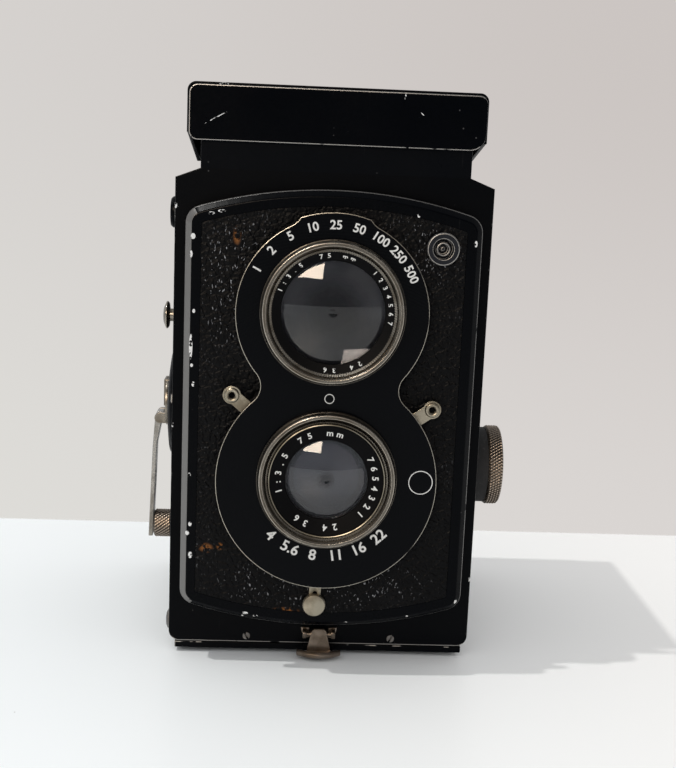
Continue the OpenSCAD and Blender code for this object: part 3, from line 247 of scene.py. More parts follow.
def shown(name, bm, finish, body, slot, *stands_for):
    """Makes a piece of a bmesh, with soft faces between its hard edges, riding on its body."""
    for face in bm.faces:
        face.smooth = True
    for edge in bm.edges:
        if edge.is_manifold and edge.calc_face_angle() > HARD:
            edge.smooth = False
    mesh = bpy.data.meshes.new(name)
    bm.to_mesh(mesh)
    bm.free()
    mesh.materials.append(finish)
    made = bpy.data.objects.new(name, mesh)
    scene.collection.objects.link(made)
    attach(made, body)
    if stands_for:
        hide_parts(*stands_for)
    return made


def crowded(bm, sharp, width):
    """Sharp edges that have no room for a round, as another edge of the same face lies too near."""
    tight = set()
    for face in bm.faces:
        rim = [(l, l.vert.co, l.link_loop_next.vert.co) for l in face.loops]
        for loop, start, end in rim:
            if loop.edge not in sharp:
                continue
            length = (end - start).length
            along = (end - start) / length
            inward = face.normal.cross(along)
            ends = loop.edge.verts
            for other, first, last in rim:
                if other.vert in ends or other.link_loop_next.vert in ends:
                    continue
                room = (2.1 if other.edge in sharp else 1.1) * width
                spots = [first, last]
                slope = (last - first).dot(along)
                if abs(slope) > 1e-9:
                    shares = [(t - (first - start).dot(along)) / slope for t in (0.0, length)]
                    spots += [first.lerp(last, t) for t in shares if 0 < t < 1]
                for spot in spots:
                    beside = -1e-6 <= (spot - start).dot(along) <= length + 1e-6
                    if beside and 0 < (spot - start).dot(inward) < room:
                        tight.add(loop.edge)
    inner_corners = [
        (l.edge, l.link_loop_prev.edge) for face in bm.faces for l in face.loops
        if not l.is_convex and l.edge in sharp and l.link_loop_prev.edge in sharp
    ]
    found = -1
    while found < len(tight):
        found = len(tight)
        for pair in inner_corners:
            if not tight.isdisjoint(pair):
                tight.update(pair)
    return tight


def eased(node, width, steps=2, wear=0.5, keep=None):
    """A copy of a solid with its sharp edges rounded, each round marked with how far it is worn; on the
    panel's left rim the mark is a painted highlight.

    The wear is a number, or a function of the face; keep picks edges that stay sharp.
    """
    bm = bmesh.new()
    bm.from_mesh(frame["nodes"][node].data)
    bmesh.ops.remove_doubles(bm, verts=bm.verts, dist=2e-6)
    flat = math.radians(0.4)
    bmesh.ops.dissolve_limit(bm, angle_limit=flat, verts=bm.verts, edges=bm.edges, delimit=set())
    worn = bm.faces.layers.float.new("wear")
    sharp = [e for e in bm.edges if e.is_manifold and e.calc_face_angle() > math.radians(33)]
    sharp = [e for e in sharp if not (keep and keep(e))]
    tight = crowded(bm, set(sharp), width * MM)
    sharp = [e for e in sharp if e not in tight]
    made = bmesh.ops.bevel(
        bm, geom=sharp, offset=width * MM, offset_type="OFFSET", segments=steps, profile=0.5,
        affect="EDGES", clamp_overlap=False, material=-1, loop_slide=True,
    )
    bm.normal_update()
    for face in bm.faces if callable(wear) else made["faces"]:
        face[worn] = wear(face) if callable(wear) else wear
    return bm


def even_shading(made):
    """Keeps flat faces flat beside their rounded edges."""
    weighted = made.modifiers.new("even_shading", "WEIGHTED_NORMAL")
    weighted.keep_sharp = True


def body_of(node):
    bodies = frame["record"]["behaviour"]["bodies"]
    return next(name for name, nodes in bodies.items() if node in nodes)


def slot_of(node):
    return next(p["material_slot"] for p in frame["record"]["subparts"] if p["node"] == node)


def ease_node(node, finish, width, steps=2, wear=0.5, keep=None):
    bm = eased(node, width, steps, wear, keep)
    made = shown(node + "_eased", bm, finish, body_of(node), slot_of(node), node)
    even_shading(made)
    return made


def enamel(name, rough, chips=(), paint=(0.0010, 0.0014, 0.0023, 1), metal=(0.34, 0.33, 0.315, 1)):
    """Stoved black enamel over aluminium: worn edges, fine scratches, dust, and chips at given spots."""
    finish, shader, spot = new_finish(name)
    grain = spot.noise(1500, 4)
    broad = spot.noise(70, 3)
    edge = spot.worn()
    bare = (edge + 0.9 * (broad - 0.5) + 0.7 * (spot.noise(420, 4) - 0.5)).ease(0.72, 0.80)
    ragged = spot.noise(1100, 4).ease(0.44, 0.5)
    chipped = 0 * grain
    for place, reach, *turn in chips:
        chipped = chipped.most(spot.near(place, reach, *turn).ease(0.3, 0.5) * ragged)
    streaks = spot.moved(scale=(2600, 2600, 55)).noise(1.0, 2).ease(0.72, 0.80)
    fleck = (1 - spot.cells(420).ease(0.07, 0.1)) * spot.noise(90).ease(0.6, 0.64)
    coat = (0.06 * streaks + 0.3 * fleck).tint(paint, (0.16, 0.155, 0.15, 1))
    dress(shader, spot, {
        "Base Color": chipped.tint(bare.tint(coat, metal), (0.78, 0.77, 0.75, 1)),
        "Metallic": 0.75 * bare * (1 - chipped),
        "Roughness": rough + 0.14 * (broad - 0.5) + 0.1 * (grain - 0.5) + 0.12 * bare + 0.2 * fleck,
        "Normal": (0.4 * grain + 0.6 * spot.noise(260, 2) - 0.8 * chipped).relief(0.00004, 0.5),
        "Specular IOR Level": 0.05,
    })
    return finish


def seam(edge):
    """The closed joints between casting, neck plate and hood, where the faces lie flush."""
    return any(all(abs(v.co.z / MM - level) < 0.06 for v in edge.verts) for level in (125.0, 127.4))


def shell_seam(edge):
    """The shell's closed joints, and the rims of its side recesses, where the leathers lie flush."""
    ends = [v.co / MM for v in edge.verts]
    return seam(edge) or all(abs(x) > 38.2 and -34.2 < y < 32.2 and 5.9 < z < 122.2 for x, y, z in ends)


def outer_left(face):
    """The edge at the foot of the front is worn along its length, and the left ones in places."""
    if face.normal.z < -0.3 and face.normal.y < -0.2:
        return 0.95
    return 0.6 if face.normal.x < -0.4 else 0.48


def rounds_only(rate):
    """Wear on the slanting faces alone, so that the flat ones keep their paint."""
    return lambda face: rate(face) if max(abs(c) for c in face.normal) < 0.985 else 0.0


body_enamel = enamel("body_enamel", 0.34, (
    ((-39.8, -37, 118), (0.5, 2, 1)), ((-39.8, -37, 62), (0.4, 2, 1)), ((39.7, -37, 22), (0.4, 2, 0.8)),
))
ease_node("body_shell", body_enamel, 0.3, wear=rounds_only(outer_left), keep=shell_seam)
ease_node("top_plate", body_enamel, 0.25, wear=0.45, keep=seam)


# Side plates and leather: thin aluminium plates let into the casting's sides, covered like the front
# with black goat-grained leathercloth, glued on and rubbed smooth where the hands hold it.
def leathercloth(name, scuffs=(), shine=()):
    finish, shader, spot = new_finish(name)
    stray = spot.node("ShaderNodeTexNoise", None, {"Vector": spot, "Scale": 700.0}, "Color")
    shift = spot.node("ShaderNodeVectorMath", {"operation": "SCALE"}, {0: stray, "Scale": 0.0009})
    loose = spot.node("ShaderNodeVectorMath", {"operation": "ADD"}, {0: spot, 1: shift})
    pebble = loose.cells(1050, "SMOOTH_F1")
    creases = loose.cells(420, "DISTANCE_TO_EDGE").ease(0.0, 0.16)
    broad = spot.noise(45, 4)
    rubbed = broad.ease(0.52, 0.75)
    torn = 0 * broad
    for place, reach in scuffs:
        torn = torn.most(spot.near(place, reach) * spot.noise(650, 5).ease(0.46, 0.54))
    # Painted highlights: light flecks along the creases of the grain stand for glints of the lamp on the
    # pebbles, faint where the cloth is rubbed and strong in the shine spots.
    painted_glint = 0.25 * rubbed
    for place, reach in shine:
        painted_glint = painted_glint.most(spot.near(place, reach))
    creased = loose.moved(scale=(2400, 1, 850)).noise(1.0, 2).ease(0.62, 0.68)
    painted_glint = painted_glint * creased * spot.noise(330, 3).ease(0.45, 0.51)
    cloth = rubbed.tint((0.0013, 0.0015, 0.0021, 1), (0.003, 0.003, 0.0036, 1))
    dress(shader, spot, {
        "Base Color": torn.tint(painted_glint.tint(cloth, (0.34, 0.34, 0.35, 1)), (0.20, 0.075, 0.02, 1)),
        "Roughness": 0.36 + 0.16 * pebble - 0.08 * rubbed + 0.3 * torn,
        "Normal": (1.1 - pebble + 0.35 * creases + 0.2 * spot.noise(2600) - 0.8 * torn).relief(0.0003, 0.9),
        "Specular IOR Level": 0.08,
    })
    return finish


side_cloth = leathercloth("side_leathercloth")


def inside_black(name, tone=0.016):
    """Matt black lacquer inside the body, a little dusty."""
    finish, shader, spot = new_finish(name)
    dust = spot.noise(900, 5).ease(0.58, 0.72)
    dress(shader, spot, {
        "Base Color": dust.tint((tone, tone, tone * 1.05, 1), (tone * 2.4, tone * 2.3, tone * 2.2, 1)),
        "Roughness": 0.62 + 0.2 * spot.noise(300, 3),
        "Normal": spot.noise(3000, 2).relief(0.00003, 0.4),
    })
    return finish


matt_black = inside_black("matt_black")


def wear_as_is(finish, *nodes):
    """Gives solids whose shape is right their finish."""
    for node in nodes:
        solid = frame["nodes"][node]
        solid.data.materials.clear()
        solid.data.materials.append(finish)


wear_as_is(side_cloth, "side_leathers")
wear_as_is(matt_black, "side_plates", "film_gate", "mirror_frame")


# Reflex mirror and screen: a silvered plate glass at 45 degrees behind the viewing lens throws the
# picture up on a ground glass, which lies loose in a ledge of the neck plate.
def plate_glass(name, tone, rough, clear, metal=0.0):
    finish, shader, spot = new_finish(name)
    smear = spot.noise(90, 4)
    dress(shader, spot, {
        "Base Color": smear.ease(0.3, 0.8).tint(tone, shade(tone, 0.93)),
        "Roughness": rough + 0.06 * smear.ease(0.5, 0.8),
        "Metallic": metal,
        "Transmission Weight": clear,
        "IOR": 1.5,
    })
    return finish


silvered = plate_glass("silvered_glass", (0.86, 0.87, 0.88, 1), 0.03, clear=0.0, metal=1.0)
ground = plate_glass("ground_glass", (0.78, 0.80, 0.80, 1), 0.38, clear=0.5)
wear_as_is(silvered, "reflex_mirror")
wear_as_is(ground, "focusing_screen")


# Front panel: a flat pressed tray with arched ends and a bevelled rim that carries both lenses and
# slides out on four posts to focus. Its enamel is chipped along the left rim.
panel_chips = [
    (-34.9, 110.9, 0.8, 1.0), (-35.3, 106.5, 0.5, 1.2), (-30.6, 116.7, 1.2, 0.5), (-27.9, 117.3, 1.4, 0.5),
    (-34.4, 92.4, 0.5, 0.7), (-35.0, 83.4, 0.6, 4.4), (-34.7, 78.7, 0.5, 0.6), (-34.2, 73.9, 0.6, 0.9),
    (-34.8, 50.3, 0.6, 0.8), (-34.4, 37.3, 0.6, 0.8), (-35.1, 34.9, 0.7, 0.8), (-34.2, 29.0, 0.7, 1.2),
    (-24.1, 12.6, 0.8, 0.5), (-19.7, 13.5, 1.1, 0.5), (-20.4, 12.4, 0.6, 0.5), (-17.0, 12.7, 0.9, 0.5),
    (-13.0, 10.6, 0.6, 0.5), (6.6, 11.3, 0.8, 0.6), (22.8, 13.4, 0.5, 0.5), (35.5, 17.6, 0.6, 1.2),
    (35.1, 111.5, 0.5, 1.1), (20.5, 118.0, 0.5, 0.7),
]
chip_spots = [((x, -43, z), (wide, 2, tall)) for x, z, wide, tall in panel_chips]
panel_enamel = enamel("panel_enamel", 0.27, chip_spots, metal=(0.20, 0.195, 0.19, 1))


def rim_wear_and_painted_highlight(face):
    """The slanting rim is bare metal on the left, a painted highlight for the side the lamp lights;
    elsewhere only a line along its outer edge is rubbed bare.
    """
    across, out, up = face.normal
    middle = face.calc_center_median() / MM
    outward = across * middle.x + up * (middle.z - 66.7) > 0
    if not outward or out > -0.08 or out < -0.985:
        return 0.0
    if across < -0.3 and up < 0.6:
        return 1.0
    return 0.95 if out > -0.6 else 0.45


ease_node("lens_panel", panel_enamel, 0.3, wear=rim_wear_and_painted_highlight)
# After its four scuffs, the panel's cloth takes three patches where the painted glints gather: upper left,
# upper right and low in the middle.
panel_cloth = leathercloth("panel_leathercloth", (
    ((-24.1, -43, 111.4), (1.2, 2, 2.8)), ((-30.2, -43, 31.0), (2.2, 2, 1.6)),
    ((-9.2, -43, 14.2), (4.5, 2, 1.4)), ((-26.6, -43, 31.5), (1.2, 2, 1.2)),
), (((-22, -43, 100), (16, 9, 22)), ((20, -43, 108), (14, 9, 12)), ((0, -43, 22), (34, 9, 9))))
wear_as_is(panel_cloth, "panel_leather")


# Guide posts, cam and bushes: drawn steel posts run in turned brass bushes, and a steel cam on the
# focus shaft pushes the panel's follower. Little of it shows, unless the panel is out.
def bare_metal(name, tone, aged, rough, shine=2.0):
    """A bare or plated metal with tarnish in patches, fine handling marks and edges rubbed bright."""
    finish, shader, spot = new_finish(name)
    patch = spot.noise(160, 5, 0.6)
    grain = spot.noise(2600, 3)
    edge = spot.worn()
    old = patch.ease(0.42, 0.68) * (1 - 0.7 * edge)
    dress(shader, spot, {
        "Base Color": edge.ease(0.6, 1.0).tint(old.tint(tone, aged), shade(tone, shine)),
        "Metallic": 1.0,
        "Roughness": rough + 0.16 * old + 0.14 * (grain - 0.5),
        "Normal": (0.5 * grain).relief(0.000012, 0.35),
    })
    return finish


steel = bare_metal("drawn_steel", (0.50, 0.50, 0.50, 1), (0.27, 0.26, 0.25, 1), 0.30)
brass = bare_metal("turned_brass", (0.66, 0.50, 0.25, 1), (0.36, 0.25, 0.12, 1), 0.30)
nickel = bare_metal("aged_nickel", (0.24, 0.218, 0.185, 1), (0.125, 0.108, 0.085, 1), 0.27)
barrel_nickel = bare_metal("barrel_nickel", (0.15, 0.137, 0.118, 1), (0.08, 0.07, 0.057, 1), 0.27, 3.0)
bright_nickel = bare_metal("handled_nickel", (0.34, 0.31, 0.245, 1), (0.19, 0.17, 0.13, 1), 0.32)
wear_as_is(steel, "guide_posts", "focus_follower", "focus_cam", "pressure_springs")
wear_as_is(brass, "bushes", "crank_gear", "spool_gear")


# Shutter: a round case behind the face plate with three thin blued-steel blades. Two flat levers
# with hollow rivets as finger tabs set speed and aperture; a third is the release with its button.
blued = plate_glass("blued_steel", (0.085, 0.086, 0.10, 1), 0.42, clear=0.0, metal=0.6)
wear_as_is(matt_black, "shutter_case")
wear_as_is(blued, "shutter_blade_1", "shutter_blade_2", "shutter_blade_3")
ease_node("aperture_lever", bright_nickel, 0.1)
ease_node("speed_lever", bright_nickel, 0.1)


def forward(x, y, z):
    """Puts a piece that is turned about its own upward axis in the front, facing the viewer."""
    return Matrix.Translation(Vector((x, y, z)) * MM) @ Matrix.Rotation(math.radians(90), 4, "X")


def spun(outline, steps, place, closed=True):
    """Turns an outline of radius and height in millimetres, as on a lathe, and puts it in place."""
    bm = bmesh.new()
    ring = [bm.verts.new((r * MM, 0, h * MM)) for r, h in outline]
    pairs = list(zip(ring, ring[1:] + ring[:1])) if closed else list(zip(ring, ring[1:]))
    edges = [bm.edges.new(pair) for pair in pairs]
    bmesh.ops.spin(
        bm, geom=ring + edges, cent=(0, 0, 0), axis=(0, 0, 1), dvec=(0, 0, 0), angle=math.tau,
        steps=steps, use_merge=True, use_normal_flip=False, use_duplicate=False,
    )
    bmesh.ops.remove_doubles(bm, verts=bm.verts, dist=1e-7)
    bmesh.ops.recalc_face_normals(bm, faces=bm.faces)
    bmesh.ops.transform(bm, matrix=place, verts=bm.verts)
    return bm


def ridged(bm, place, r_low, r_high, h_low, h_high, depth, teeth, slope=0.0):
    """Pushes every other row of a turned band in, as a knurling wheel does.

    A slope slants the rows and adds fainter ones that cross them.
    """
    home = place.inverted()
    for vert in bm.verts:
        at = home @ vert.co / MM
        r = math.hypot(at.x, at.y)
        if r_low < r < r_high and h_low < at.z < h_high:
            turn = math.atan2(at.y, at.x) * teeth / math.tau
            one = abs((turn + slope * at.z) % 1.0 - 0.5) * 2
            two = abs((turn - slope * at.z) % 1.0 - 0.5) * 2 * 0.55
            cut = depth * (max(one, two) if slope else one) / r
            at.x *= 1 - cut
            at.y *= 1 - cut
            vert.co = place @ (at * MM)


take_z = 51.5
release_at = 34.8
arm = eased("release_lever", 0.06)
shown("release_arm", arm, bright_nickel, "release", "nickel", "release_lever")
swing = math.radians(267)
button_at = forward(release_at * math.cos(swing), -45.02, take_z + release_at * math.sin(swing))
button_side = [(2.35, 0.16), (2.75, -0.05), (3.02, -0.3), (3.02, -1.2), (2.6, -1.5), (0, -1.5)]
button_top = [(0, 0.28), (1.2, 0.27), (1.3, 0.2), (1.45, 0.2), (1.55, 0.26)]
cap = spun(button_top + button_side, 144, button_at, closed=False)
ridged(cap, button_at, 2.9, 3.1, -1.3, -0.1, depth=0.16, teeth=36)
shown("release_cap", cap, bright_nickel, "release", "nickel")


# Face plate: a figure-of-eight of sheet brass in gloss black, turned with fine rings and rimmed by a
# thin bright line. White figures for the speeds stand over the viewing lens, and for the apertures below.
plate_enamel, plate_shader, plate_spot = new_finish("face_enamel")
from_take = plate_spot.moved((0, 0, -take_z * MM), (1, 0, 1))
rings_per_metre = 1300
rings = plate_spot.sum("SINE", from_take.length() * rings_per_metre * math.tau)
plate_grain = plate_spot.noise(1300, 4)
plate_bare = plate_spot.worn() * plate_spot.noise(120, 3).ease(0.26, 0.42)
dress(plate_shader, plate_spot, {
    "Base Color": plate_bare.tint((0.0013, 0.0017, 0.0026, 1), (0.40, 0.38, 0.33, 1)),
    "Specular IOR Level": 0.06,
    "Metallic": plate_bare,
    "Roughness": 0.24 + 0.1 * (plate_grain - 0.5) + 0.1 * plate_bare,
    "Normal": (0.35 * rings + 0.6 * plate_grain).relief(0.00002, 0.5),
})
ease_node("face_plate", plate_enamel, 0.2, wear=lambda face: 1.0 if -0.98 < face.normal.y < -0.1 else 0.0)


def paint_finish(name, tone):
    finish, shader, spot = new_finish(name)
    thin = spot.noise(1800, 4).ease(0.55, 0.75)
    dress(shader, spot, {
        "Base Color": thin.tint(tone, shade(tone, 0.55)),
        "Roughness": 0.5 + 0.2 * thin,
    })
    return finish


white_paint = paint_finish("white_paint", (0.72, 0.71, 0.68, 1))


def figure(text, size):
    """A number as a flat mesh of the built-in typeface, centred on its middle, in millimetres."""
    curve = bpy.data.curves.new("figure", "FONT")
    curve.body = text
    curve.size = size
    curve.align_x = "CENTER"
    curve.align_y = "CENTER"
    curve.extrude = 0.02
    curve.offset = 0.02 * size
    curve.resolution_u = 3
    holder = bpy.data.objects.new("figure", curve)
    scene.collection.objects.link(holder)
    mesh = bpy.data.meshes.new_from_object(holder.evaluated_get(bpy.context.evaluated_depsgraph_get()))
    bpy.data.objects.remove(holder)
    return mesh


def arc_of(bm, words, centre, radius, size, lean=0.0, inward=False):
    """Sets figures round a centre at angles counted clockwise from the top, with their feet in or out."""
    for text, degrees in words:
        mesh = figure(text, size)
        turn = Matrix.Rotation(math.radians(-degrees), 4, "Z")
        out = Matrix.Translation((0, radius * MM, 0)) @ Matrix.Rotation(math.radians(lean), 4, "X")
        stand = Matrix.Rotation(math.pi if inward else 0.0, 4, "Z")
        mesh.transform(centre @ turn @ out @ stand @ Matrix.Scale(MM, 4))
        bm.from_mesh(mesh)


figures = bmesh.new()
view_z = 93.8
face_y = -47.6
speeds = ["1", "2", "5", "10", "25", "50", "100", "250", "500"]
speed_marks = [(s, -62 + 15.5 * i) for i, s in enumerate(speeds)]
arc_of(figures, speed_marks, forward(0, face_y - 0.02, view_z), radius=21.3, size=3.1)
stops = ["4", "5.6", "8", "11", "16", "22"]
stop_marks = [(s, 222 - 17 * i) for i, s in enumerate(stops)]
arc_of(figures, stop_marks, forward(0, face_y - 0.02, take_z), radius=20.4, size=3.9, inward=True)
shown("face_figures", figures, white_paint, "lens_board", "gloss_black")


def painted_ring(name, x, z, r, width):
    """A ring painted on the face plate, as a flat band that stands hardly proud of it."""
    band = [(r - width, 0), (r - width, 0.03), (r, 0.03), (r, 0)]
    shown(name, spun(band, 96, forward(x, face_y, z)), white_paint, "lens_board", "gloss_black")


painted_ring("plain_ring", 23.9, 51.2, r=3.1, width=0.22)
painted_ring("index_ring", 0, 72.1, r=1.25, width=0.2)


# Lens barrels: turned brass, nickel plated and handled dull, with a finely milled edge. A black
# ring inside each one carries the focal length and the opening in white.
ease_node("view_barrel", barrel_nickel, 0.12, wear=1.0)
ease_node("take_barrel", barrel_nickel, 0.12, wear=1.0)


def milled_rim(name, z, r):
    rim_at = forward(0, face_y, z)
    outline = [(r - 0.3, 0.1), (r + 0.06, 0.25), (r + 0.16, 0.45)]
    outline += [(r + 0.16, 0.45 + 0.25 * i) for i in range(1, 7)]
    outline += [(r + 0.06, 2.15), (r - 0.3, 2.25)]
    rim = spun(outline, 480, rim_at)
    ridged(rim, rim_at, r + 0.1, r + 0.2, 0.3, 2.1, depth=0.15, teeth=160)
    shown(name, rim, barrel_nickel, "lens_board", "nickel")


milled_rim("view_rim", view_z, 17.85)
milled_rim("take_rim", take_z, 17.55)


def ring_black(name):
    finish, shader, spot = new_finish(name)
    grain = spot.noise(1700, 3)
    dress(shader, spot, {
        "Base Color": grain.ease(0.55, 0.8).tint((0.0016, 0.0017, 0.0022, 1), (0.004, 0.004, 0.0045, 1)),
        "Roughness": 0.42 + 0.15 * grain,
        "Specular IOR Level": 0.06,
        "Normal": grain.relief(0.00002, 0.4),
    })
    return finish


lens_black = ring_black("lens_black")
wear_as_is(lens_black, "view_ring")
take_low, take_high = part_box("take_ring")
take_out = (take_high.x - take_low.x) / MM / 2
rim_y = -51
take_at = forward(0, rim_y, take_z)
slope = [(10.35, -2.8), (10.35, -2.3), (14.2, -1.2), (14.3, -1.0), (take_out, -0.9), (take_out, -2.8)]
shown("take_ring_open", spun(slope, 192, take_at), lens_black, "lens_board", "gloss_black", "take_ring")


def reeded_ring(name, z, r, wide, h):
    """A narrow ring with fine radial teeth, that screws in before the lens."""
    place = forward(0, rim_y, z)
    ring = spun([(r, h), (r - wide, h - 0.5), (r - wide, h - 0.8), (r, h - 0.8)], 480, place)
    ridged(ring, place, r - wide - 0.1, r + 0.1, h - 0.55, h + 0.1, depth=0.25, teeth=160)
    shown(name, ring, nickel, "lens_board", "nickel")


reeded_ring("view_reeding", view_z, 15.8, 0.55, -0.65)
reeded_ring("take_reeding", take_z, take_out - 0.05, 0.55, -0.55)
thread = [(14.62, -0.72), (14.5, -0.66), (14.38, -0.72), (14.38, -1.05), (14.62, -1.05)]
shown("take_thread", spun(thread, 192, take_at), bright_nickel, "lens_board", "nickel")


def spaced(text, start, step):
    return [(letter, start + step * i) for i, letter in enumerate(text) if letter != " "]


ring_marks = bmesh.new()
view_words = spaced("1:3.5", -68, 8) + spaced("75 mm", -14, 8)
view_words += spaced("1234567", 44, 9) + spaced("24 36", 150, 9)
arc_of(ring_marks, view_words, forward(0, -49.52, view_z), radius=14.05, size=1.75, lean=15.7)
take_words = spaced("1:3.5", -104, 11) + spaced("75 mm", -34, 12)
take_words += spaced("7654321", 62, 12) + spaced("24 36", 168, 12)
arc_of(ring_marks, take_words, forward(0, -49.36, take_z), radius=12.2, size=2.3, lean=16)
shown("ring_figures", ring_marks, white_paint, "lens_board", "gloss_black")


# Lens glass: old uncoated crown glass, slightly hazed, cemented into the barrels behind the rings.
def lens_glass(name, tone, clear, z, dark_r):
    """Clear in the middle, where it looks into the dark, and lighter towards the rim and the top, a painted
    sheen over a little haze.
    """
    finish, shader, spot = new_finish(name)
    haze = spot.noise(120, 4)
    from_middle = spot.moved((0, 0, -z * MM), (1, 0, 1))
    # Painted sheen: the colour grows lighter towards the rim and the top, standing for the room's light
    # mirrored in the glass, over a little real haze.
    upper = from_middle.part(2).ease(-0.012, 0.012)
    outer = from_middle.length().ease(0.2 * dark_r * MM, dark_r * MM)
    haze_and_painted_sheen = outer * (0.35 + 0.35 * upper + 0.5 * haze)
    dress(shader, spot, {
        "Base Color": haze_and_painted_sheen.tint(shade(tone, 0.3), tone),
        "Roughness": 0.015 + 0.03 * haze.ease(0.5, 0.8),
        "Specular IOR Level": 0.36,
        "Transmission Weight": clear,
        "IOR": 1.52,
    })
    return finish


crown = lens_glass("crown_glass", (0.46, 0.47, 0.52, 1), 0.975, view_z, dark_r=11.0)
wear_as_is(crown, "view_glass", "magnifier_lens")
hazed = lens_glass("hazed_glass", (0.50, 0.52, 0.58, 1), 0.94, take_z, dark_r=3.0)
wear_as_is(hazed, "take_glass")


# Flash socket, crank bearing, counter and small screws: turned or pressed pieces set in the casting.
socket_grey = enamel("socket_grey", 0.3, paint=(0.018, 0.019, 0.022, 1))
ease_node("sync_socket", socket_grey, 0.14, wear=0.95)
boss_enamel = enamel("boss_enamel", 0.3)
ease_node("crank_boss", boss_enamel, 0.25, wear=0.6)
ease_node("counter_window", boss_enamel, 0.12, wear=0.6)
screw_steel = bare_metal("screw_steel", (0.22, 0.215, 0.21, 1), (0.10, 0.095, 0.09, 1), 0.4)
ease_node("body_screws", screw_steel, 0.05, steps=1)
old_bronze = bare_metal("latch_bronze", (0.20, 0.165, 0.135, 1), (0.10, 0.080, 0.062, 1), 0.3)
ease_node("latch_bracket", old_bronze, 0.1)
dial_white = paint_finish("dial_white", (0.62, 0.60, 0.54, 1))
wear_as_is(dial_white, "counter_dial")


def leftward(x, y, z):
    """A place on the left side whose upright faces a viewer there."""
    turned = Matrix.Rotation(math.radians(-90), 4, "Z") @ Matrix.Rotation(math.radians(90), 4, "X")
    return Matrix.Translation(Vector((x, y, z)) * MM) @ turned


def measures(node):
    """Of a round piece along X, in millimetres: its left end, its axis, its radius and its length."""
    low, high = (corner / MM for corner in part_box(node))
    return low.x, (low + high) / 2, (high.z - low.z) / 2, high.x - low.x


dial_x, dial_mid, dial_r, _ = measures("counter_dial")
dial_marks = bmesh.new()
counts = [(str(i + 1), 30 * i) for i in range(12)]
dial_face = leftward(dial_x - 0.02, dial_mid.y, dial_mid.z)
arc_of(dial_marks, counts, dial_face, radius=dial_r * 0.74, size=dial_r * 0.3)
black_paint = paint_finish("black_paint", (0.012, 0.012, 0.012, 1))
shown("dial_figures", dial_marks, black_paint, body_of("counter_dial"), slot_of("counter_dial"))


# Focus knob: a dark lacquered collar with a bronze knob whose edge has a crossed knurl.
def sideways(x, y, z):
    """Lays a piece that is turned about its own upward axis along X, with its head to the right."""
    return Matrix.Translation(Vector((x, y, z)) * MM) @ Matrix.Rotation(math.radians(90), 4, "Y")


bronze = bare_metal("patinated_bronze", (0.060, 0.050, 0.041, 1), (0.040, 0.032, 0.026, 1), 0.34, 7.5)
ease_node("focus_collar", inside_black("collar_lacquer", 0.012), 0.25)


def knurled(node, body, bore, dish, teeth, slope, depth):
    """A flat bronze knob with a crossed knurl on its edge and a dished, ringed face."""
    left, middle, r, length = measures(node)
    place = sideways(left, middle.y, middle.z)
    rows = [(r, 0.35 + (length - 0.9) * i / 27) for i in range(28)]
    outline = [(bore, 0), (r - 0.5, 0)] + rows + [(r - 0.5, length - 0.12), (r - 0.9, length)]
    outline += [(r * 0.8, length), (r * 0.76, length - dish), (r * 0.42, length - dish)]
    outline += [(r * 0.38, length - dish * 0.3), (bore, length - dish * 0.3)]
    knob = spun(outline, teeth * 4, place)
    ridged(knob, place, r - 0.05, r + 0.05, 0.2, length - 0.4, depth, teeth, slope)
    worn = knob.verts.layers.float.new("wear")
    for vert in knob.verts:
        at = place.inverted() @ vert.co / MM
        sunk = (r - math.hypot(at.x, at.y)) / depth
        vert[worn] = min(1.0, 1.6 * max(0.0, 1 - sunk)) if 0.2 < at.z < length - 0.4 else 0.8
    shown(node + "_knurled", knob, bronze, body, "knurled_brass", node)


knurled("focus_knob", "focus", bore=3.0, dish=0.5, teeth=78, slope=0.7, depth=0.5)


# Crank: a nickel hub on the winding shaft, a thin sprung arm that folds flat against the body, and a
# small knurled handle that turns on the arm's end. Above it sits the mushroom button of the counter.
ease_node("crank_hub", nickel, 0.12)
arm_nickel = bare_metal("arm_nickel", (0.33, 0.32, 0.30, 1), (0.2, 0.19, 0.17, 1), 0.27)
ease_node("crank_arm", arm_nickel, 0.2)
ease_node("counter_button", nickel, 0.15, wear=0.8)
knurled("crank_handle", "handle", bore=1.25, dish=0.3, teeth=26, slope=0.8, depth=0.3)


# Film path: a black take-up spool, a sprung pressure plate on the door, and two pull-out knobs on
# the right whose pins hold the spool ends.
spool_black = enamel("spool_black", 0.45)
ease_node("take_up_spool", spool_black, 0.12)
ease_node("pressure_plate", matt_black, 0.2)
knob_black = enamel("knob_black", 0.28)


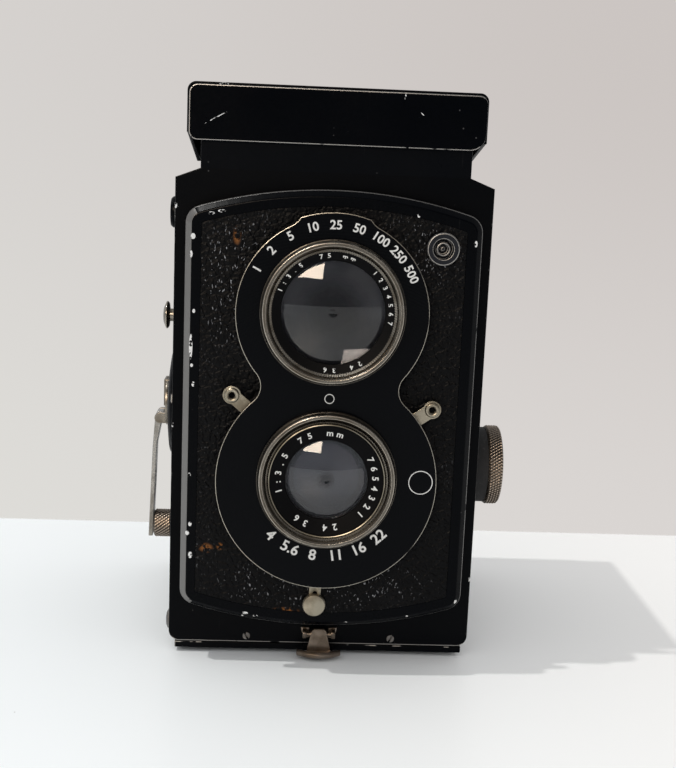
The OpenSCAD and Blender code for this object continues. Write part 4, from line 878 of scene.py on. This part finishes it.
def spool_knob(name, node, body):
    _, middle, r, _ = measures(node)
    place = sideways(40.5, middle.y, middle.z)
    outline = [(2.4, -12.4), (2.4, 0), (r - 0.7, 0), (r - 0.1, 0.4)]
    outline += [(r, 0.6 + 0.3 * i) for i in range(7)] + [(r - 0.25, 2.65), (r - 1.0, 3.2)]
    outline += [(r * 0.7, 3.3), (r * 0.66, 3.05), (r * 0.6, 3.05), (r * 0.56, 3.35)]
    outline += [(r * 0.25, 3.55), (0, 3.6), (0, -12.4)]
    knob = spun(outline, 240, place)
    ridged(knob, place, r - 0.05, r + 0.05, 0.4, 2.6, depth=0.3, teeth=60)
    shown(name, knob, knob_black, body, "gloss_black", node)


spool_knob("upper_knob_milled", "upper_spool_knob", "upper_knob")
spool_knob("lower_knob_milled", "lower_spool_knob", "lower_knob")


# Back: a hinged door with leather on its outside, and the base that swings with it, which has four
# pressed feet and a brass tripod bush. A sprung lever at the front edge of the bottom holds it shut.
door_enamel = enamel("door_enamel", 0.33)
ease_node("back_door", door_enamel, 0.3, wear=0.55)
ease_node("base_plate", door_enamel, 0.2, wear=0.6)
door_cloth = leathercloth("door_leathercloth")
wear_as_is(door_cloth, "door_leather")
ease_node("tripod_bush", brass, 0.2)
ease_node("latch_lever", old_bronze, 0.05)


# Hood: a pressed base with three sprung flaps and a magnifier under a hinged lid. The front wall
# carries a bare enamelled plate with bright edges.
hood_enamel = enamel("hood_enamel", 0.30, (((-28.5, -35, 148), (1.6, 3, 0.5)),), (0.0018, 0.0024, 0.0036, 1))
plate_paint = enamel("nameplate_enamel", 0.22, (
    ((-30.2, -38.3, 139.7), (4.2, 2, 0.14), -29.6), ((16.2, -38.3, 146.7), (0.25, 2, 1.1), 8.0),
    ((20.6, -38.3, 142.6), (0.7, 2, 0.14), 42.0),
))


def plate_bare_edges(face):
    """Bare metal along the top and left, nearly as much below, and seldom on the right."""
    across, out, up = face.normal
    if out > -0.1 or out < -0.985:
        return 0.0
    if up > 0.3 or across < -0.3:
        return 1.0
    return 0.85 if up < -0.3 else 0.45


ease_node("hood_base", hood_enamel, 0.2, keep=seam)
ease_node("nameplate", plate_paint, 0.24, wear=plate_bare_edges)
ease_node("hood_lid", hood_enamel, 0.18, wear=0.55)
flap_black = enamel("flap_black", 0.5)
for flap in ("left_flap", "right_flap", "rear_flap", "magnifier_frame"):
    ease_node(flap, flap_black, 0.12)
